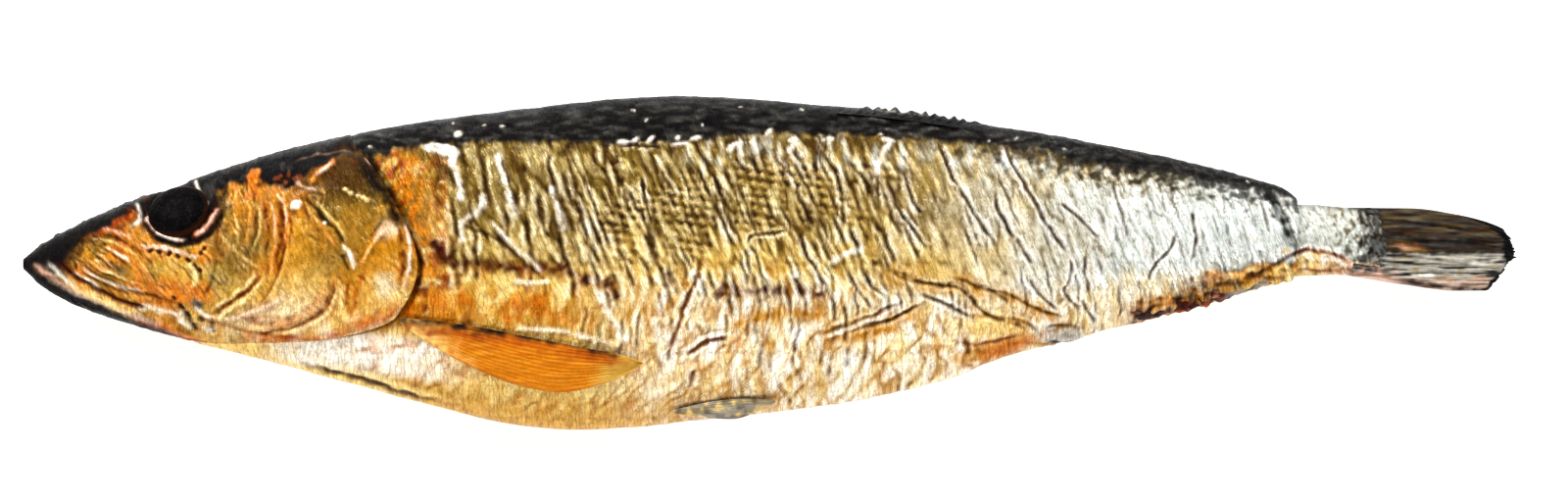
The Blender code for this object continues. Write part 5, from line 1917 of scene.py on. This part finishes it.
def scale_rows():
    """The prints that scales left: a rim and a height, in rows along the fish."""
    name = "Scale prints"
    if name in bpy.data.node_groups:
        return bpy.data.node_groups[name]
    tree, add, given = new_group(
        name, (("Grain", "Vector", None), ("Rows", "Float", 0.55)),
        (("Rim", "Float"), ("Height", "Float")),
    )
    scale = add.node("ShaderNodeCombineXYZ", (0.8, 1.0, 1.0)).outputs[0]
    cells = add.node(
        "ShaderNodeTexVoronoi",
        {"Vector": add.stretched(given["Grain"], scale), "Scale": given["Rows"], "Randomness": 0.55},
        feature="DISTANCE_TO_EDGE",
    )
    rim = add.span(cells.outputs["Distance"], 0.0, 0.14, 1.0, 0.0)
    add.node("NodeGroupOutput", (rim, add.math("SUBTRACT", 1.0, rim)))
    return tree


def new_material(name):
    """A material with the Recipe that adds its nodes, and its shader."""
    material = bpy.data.materials.new(name)
    material.use_nodes = True
    shader = material.node_tree.nodes["Principled BSDF"]
    shader.location = (1800, 0)
    material.node_tree.nodes["Material Output"].location = (2100, 0)
    return material, Recipe(material.node_tree), shader


def dress(add, shader, colour, wet, height, bump):
    """Lead colour, roughness and bump into the shader. The roughness is dry, then wet."""
    dry_to_wet, (strength, distance) = wet[1:], bump
    wires = {
        "Base Color": colour,
        "Roughness": add.span(wet[0], 0.0, 1.0, *dry_to_wet),
        "Normal": add.node(
            "ShaderNodeBump", {"Strength": strength, "Distance": distance, "Height": height}
        ).outputs[0],
    }
    for name, value in wires.items():
        add.tree.links.new(value, shader.inputs[name])


def scene_colour(name, strength=1.0):
    """One of the user's colours, darkened to a part of its strength."""
    return tuple(strength * part for part in getattr(bpy.context.scene.herring_colours, name))


def skin_material(name, wrinkled):
    """Oiled, smoked skin over fat: the painted pigment with wrinkles, prints and mottling."""
    material, add, shader = new_material(name)
    grain = add.attribute("grain", "Vector")
    metal = add.attribute("metal")
    place = add.node("ShaderNodeTexCoord").outputs["Object"]
    mottle = add.group(oily_mottle(), (place, 420.0))
    fine = add.group(dried_wrinkles(), (grain, 1.1, 0.26, 0.05))
    tiny = add.group(dried_wrinkles(), (grain, 2.6, 0.9, 0.07))
    prints = add.group(scale_rows(), (grain, 0.6))
    colour = add.attribute("pigment", "Color")
    # Darker along the fine and tiny wrinkle lines, which is painted shade in them, and in scale rims and
    # blotches
    dark = add.mix(1.0, colour, (0.42, 0.33, 0.24), "MULTIPLY")
    colour = add.mix(add.times(fine["Line"], 0.55 * wrinkled), colour, dark)
    calm = add.span(metal, 0.35, 0.6, 1.0, 0.35)
    colour = add.mix(add.times(add.times(tiny["Line"], 0.3), calm), colour, dark)
    colour = add.mix(add.times(prints["Rim"], 0.12 * wrinkled), colour, dark)
    colour = add.mix(add.times(add.times(mottle["Blotch"], 0.22), calm), colour, dark)
    # Lighter at specks, and on the crests of the fine wrinkles, which is painted highlight
    glow = add.mix(1.0, colour, (1.4, 1.38, 1.3), "MULTIPLY")
    colour = add.mix(add.times(add.times(mottle["Speck"], 0.55), calm), colour, glow)
    colour = add.mix(add.times(fine["Crest"], 0.4 * wrinkled), colour, glow)
    colour = add.node("ShaderNodeGamma", (colour, DEEPEN)).outputs[0]
    light = add.node("ShaderNodeRGBToBW", (colour,)).outputs[0]
    film = add.times(add.span(mottle["Wet"], 0.3, 1.0, 0.01, 0.12), add.span(light, 0.01, 0.12))
    add.tree.links.new(metal, shader.inputs["Metallic"])
    add.tree.links.new(film, shader.inputs["Coat Weight"])
    shader.inputs["Coat Roughness"].default_value = 0.14
    shader.inputs["Coat IOR"].default_value = 1.4
    shader.inputs["Specular IOR Level"].default_value = 0.03
    height = add.math("ADD", fine["Height"], add.times(tiny["Height"], 0.5))
    height = add.math("ADD", height, add.times(prints["Height"], 0.4))
    height = add.math("ADD", height, mottle["Height"])
    depth = bpy.context.scene.herring_shape.grain_depth
    dress(add, shader, colour, (mottle["Wet"], 0.45, 0.27), height, (0.8, depth))
    return material


def eye_material():
    """A dark, dried eye under a film of oil."""
    material, add, shader = new_material("Smoked eye")
    place = add.node("ShaderNodeTexCoord").outputs["Object"]
    mottle = add.group(oily_mottle(), (place, 600.0))
    colour = add.mix(
        add.times(mottle["Blotch"], 0.5), scene_colour("smoke", 0.1), scene_colour("smoke", 0.45),
    )
    ring = add.times(add.span(add.attribute("out"), 0.86, 1.0), 0.25)
    colour = add.mix(ring, colour, scene_colour("rust", 0.25))
    fleck = add.times(add.span(mottle["Speck"], 0.8, 1.0), 0.12)
    colour = add.mix(fleck, colour, scene_colour("slate"))
    shader.inputs["Specular IOR Level"].default_value = 0.01
    dress(add, shader, colour, (mottle["Wet"], 0.5, 0.38), mottle["Height"], (0.2, 0.0001))
    return material


def membrane_material(name, streaky):
    """Dried membrane between bony rays: the painted pigment, streaked along the fin."""
    material, add, shader = new_material(name)
    place = add.node("ShaderNodeTexCoord").outputs["Object"]
    mottle = add.group(oily_mottle(), (place, 380.0))
    streak = add.noise(add.attribute("grain", "Vector"), 1.0, 3.0, 0.6)
    colour = add.attribute("pigment", "Color")
    dark = add.mix(1.0, colour, (0.31, 0.26, 0.2), "MULTIPLY")
    pale = add.mix(1.0, colour, (1.5, 1.45, 1.35), "MULTIPLY")
    colour = add.mix(add.span(streak, 0.5, 0.75, 0.0, streaky), colour, dark)
    colour = add.mix(add.span(streak, 0.5, 0.25, 0.0, streaky), colour, pale)
    colour = add.mix(add.span(add.attribute("ray"), 0.0, 0.25, 0.6 * streaky, 0.0), colour, dark)
    colour = add.mix(add.times(mottle["Blotch"], 0.2), colour, dark)
    colour = add.mix(add.times(mottle["Speck"], 0.3), colour, pale)
    colour = add.node("ShaderNodeGamma", (colour, DEEPEN)).outputs[0]
    shader.inputs["Specular IOR Level"].default_value = 0.05
    shader.inputs["Subsurface Weight"].default_value = 0.08
    shader.inputs["Subsurface Radius"].default_value = (0.002, 0.001, 0.0004)
    height = add.math("ADD", add.times(streak, 1.4 * streaky), mottle["Height"])
    dress(add, shader, colour, (mottle["Wet"], 0.5, 0.3), height, (0.7, 0.00015))
    return material


# Stage


def area_light(name, place, target, size, power):
    """A soft box at a place, turned to the target."""
    lamp = bpy.data.lights.new(name, "AREA")
    lamp.shape = "RECTANGLE"
    lamp.size, lamp.size_y = size
    lamp.energy = power
    made = bpy.data.objects.new(name, lamp)
    made.location = place
    made.rotation_euler = (Vector(target) - Vector(place)).to_track_quat("-Z", "Y").to_euler()
    bpy.context.scene.collection.objects.link(made)


CAMERA_PLACE = (0.0024, 0.00196, 0.768)  # straight above the fish, and looking down
CAMERA_LENS = 100.0
FLOOR_HALF = 3.0


def make_stage(context):
    """The floor, the light all around, four soft boxes and the camera."""
    scene = context.scene
    studio = scene.herring_studio
    half = FLOOR_HALF
    mesh = bpy.data.meshes.new("floor")
    corners = [(-half, -half, 0.0), (half, -half, 0.0), (half, half, 0.0), (-half, half, 0.0)]
    mesh.from_pydata(corners, [], [(0, 1, 2, 3)])
    material, _, shader = new_material("Plain pale floor")
    shader.inputs["Base Color"].default_value = (*studio.floor, 1)
    shader.inputs["Roughness"].default_value = 0.7
    shader.inputs["Specular IOR Level"].default_value = 0.2
    shader.inputs["Emission Color"].default_value = (1, 1, 1, 1)
    shader.inputs["Emission Strength"].default_value = 0.25
    mesh.materials.append(material)
    floor = bpy.data.objects.new("floor", mesh)
    scene.collection.objects.link(floor)
    world = bpy.data.worlds.new("Pale surround")
    world.use_nodes = True
    world.node_tree.nodes["Background"].inputs["Color"].default_value = (1, 1, 1, 1)
    world.node_tree.nodes["Background"].inputs["Strength"].default_value = studio.surround
    scene.world = world
    target = (0.0, 0.0, 0.01)
    area_light("key_light", (-0.34, 0.42, 0.42), target, (0.34, 0.22), studio.key_power)
    area_light("fill_light", (0.40, -0.44, 0.40), target, (0.45, 0.30), studio.fill_power)
    area_light("left_light", (-0.46, -0.34, 0.36), target, (0.34, 0.30), 0.7 * studio.fill_power)
    area_light("right_light", (0.46, 0.36, 0.36), target, (0.34, 0.30), 0.9 * studio.fill_power)
    camera = bpy.data.objects.new("camera", bpy.data.cameras.new("camera"))
    camera.data.lens = CAMERA_LENS
    camera.data.sensor_width = 36.0
    camera.location = CAMERA_PLACE
    scene.collection.objects.link(camera)
    scene.camera = camera
    scene.view_settings.view_transform = "Standard"


# Operators and panel


class HERRING_OT_stage(Operator):
    """Make the plain floor, the soft lights and the camera"""

    bl_idname = "herring.stage"
    bl_label = "Stage"

    def execute(self, context):
        make_stage(context)
        return {"FINISHED"}


class HERRING_OT_flanks(Operator):
    """Make the skin of the body, one piece for each flank"""

    bl_idname = "herring.flanks"
    bl_label = "Flanks"

    def execute(self, context):
        make_flanks(context)
        return {"FINISHED"}


class HERRING_OT_head(Operator):
    """Make the head, from the snout to the rims of the gill covers"""

    bl_idname = "herring.head"
    bl_label = "Head"

    def execute(self, context):
        make_head(context)
        return {"FINISHED"}


class HERRING_OT_eyes(Operator):
    """Make both eyes in their sockets"""

    bl_idname = "herring.eyes"
    bl_label = "Eyes"

    def execute(self, context):
        make_eyes(context)
        return {"FINISHED"}


class HERRING_OT_flat_fins(Operator):
    """Make the pectoral and pelvic fins, folded against the belly"""

    bl_idname = "herring.flat_fins"
    bl_label = "Belly fins"

    def execute(self, context):
        make_flat_fins(context)
        return {"FINISHED"}


class HERRING_OT_ridge_fins(Operator):
    """Make the back fin and the torn fin behind the vent"""

    bl_idname = "herring.ridge_fins"
    bl_label = "Back and anal fins"

    def execute(self, context):
        make_ridge_fins(context)
        return {"FINISHED"}


class HERRING_OT_tail_root(Operator):
    """Make the narrow root of the tail, which comes out of the skin of the body"""

    bl_idname = "herring.tail_root"
    bl_label = "Tail root"

    def execute(self, context):
        make_tail_root(context)
        return {"FINISHED"}


class HERRING_OT_tail_fin(Operator):
    """Make both folded lobes of the tail fin"""

    bl_idname = "herring.tail_fin"
    bl_label = "Tail fin"

    def execute(self, context):
        make_tail_fin(context)
        return {"FINISHED"}


STEPS = (
    HERRING_OT_stage,
    HERRING_OT_flanks,
    HERRING_OT_head,
    HERRING_OT_eyes,
    HERRING_OT_flat_fins,
    HERRING_OT_ridge_fins,
    HERRING_OT_tail_root,
    HERRING_OT_tail_fin,
)
SETTINGS = (
    ("herring_colours", SmokedHerringColours),
    ("herring_shape", SmokedHerringShape),
    ("herring_studio", SmokedHerringStudio),
)


class HERRING_PT_sidebar(Panel):
    """Sizes, colours and steps of the smoked herring"""

    bl_idname = "HERRING_PT_sidebar"
    bl_label = "Smoked Herring"
    bl_space_type = "VIEW_3D"
    bl_region_type = "UI"
    bl_category = "Smoked Herring"

    def draw(self, context):
        for name, group in SETTINGS:
            box = self.layout.box()
            for key in group.__annotations__:
                box.prop(getattr(context.scene, name), key)
        for step in STEPS:
            self.layout.operator(step.bl_idname)


def register():
    for name, group in SETTINGS:
        bpy.utils.register_class(group)
        setattr(bpy.types.Scene, name, bpy.props.PointerProperty(type=group))
    for step in STEPS:
        bpy.utils.register_class(step)
    bpy.utils.register_class(HERRING_PT_sidebar)


def unregister():
    bpy.utils.unregister_class(HERRING_PT_sidebar)
    for step in reversed(STEPS):
        bpy.utils.unregister_class(step)
    for name, group in reversed(SETTINGS):
        delattr(bpy.types.Scene, name)
        bpy.utils.unregister_class(group)


def main():
    register()
    for step in STEPS:
        group, name = step.bl_idname.split(".")
        getattr(getattr(bpy.ops, group), name)()


if __name__ == "__main__":
    main()
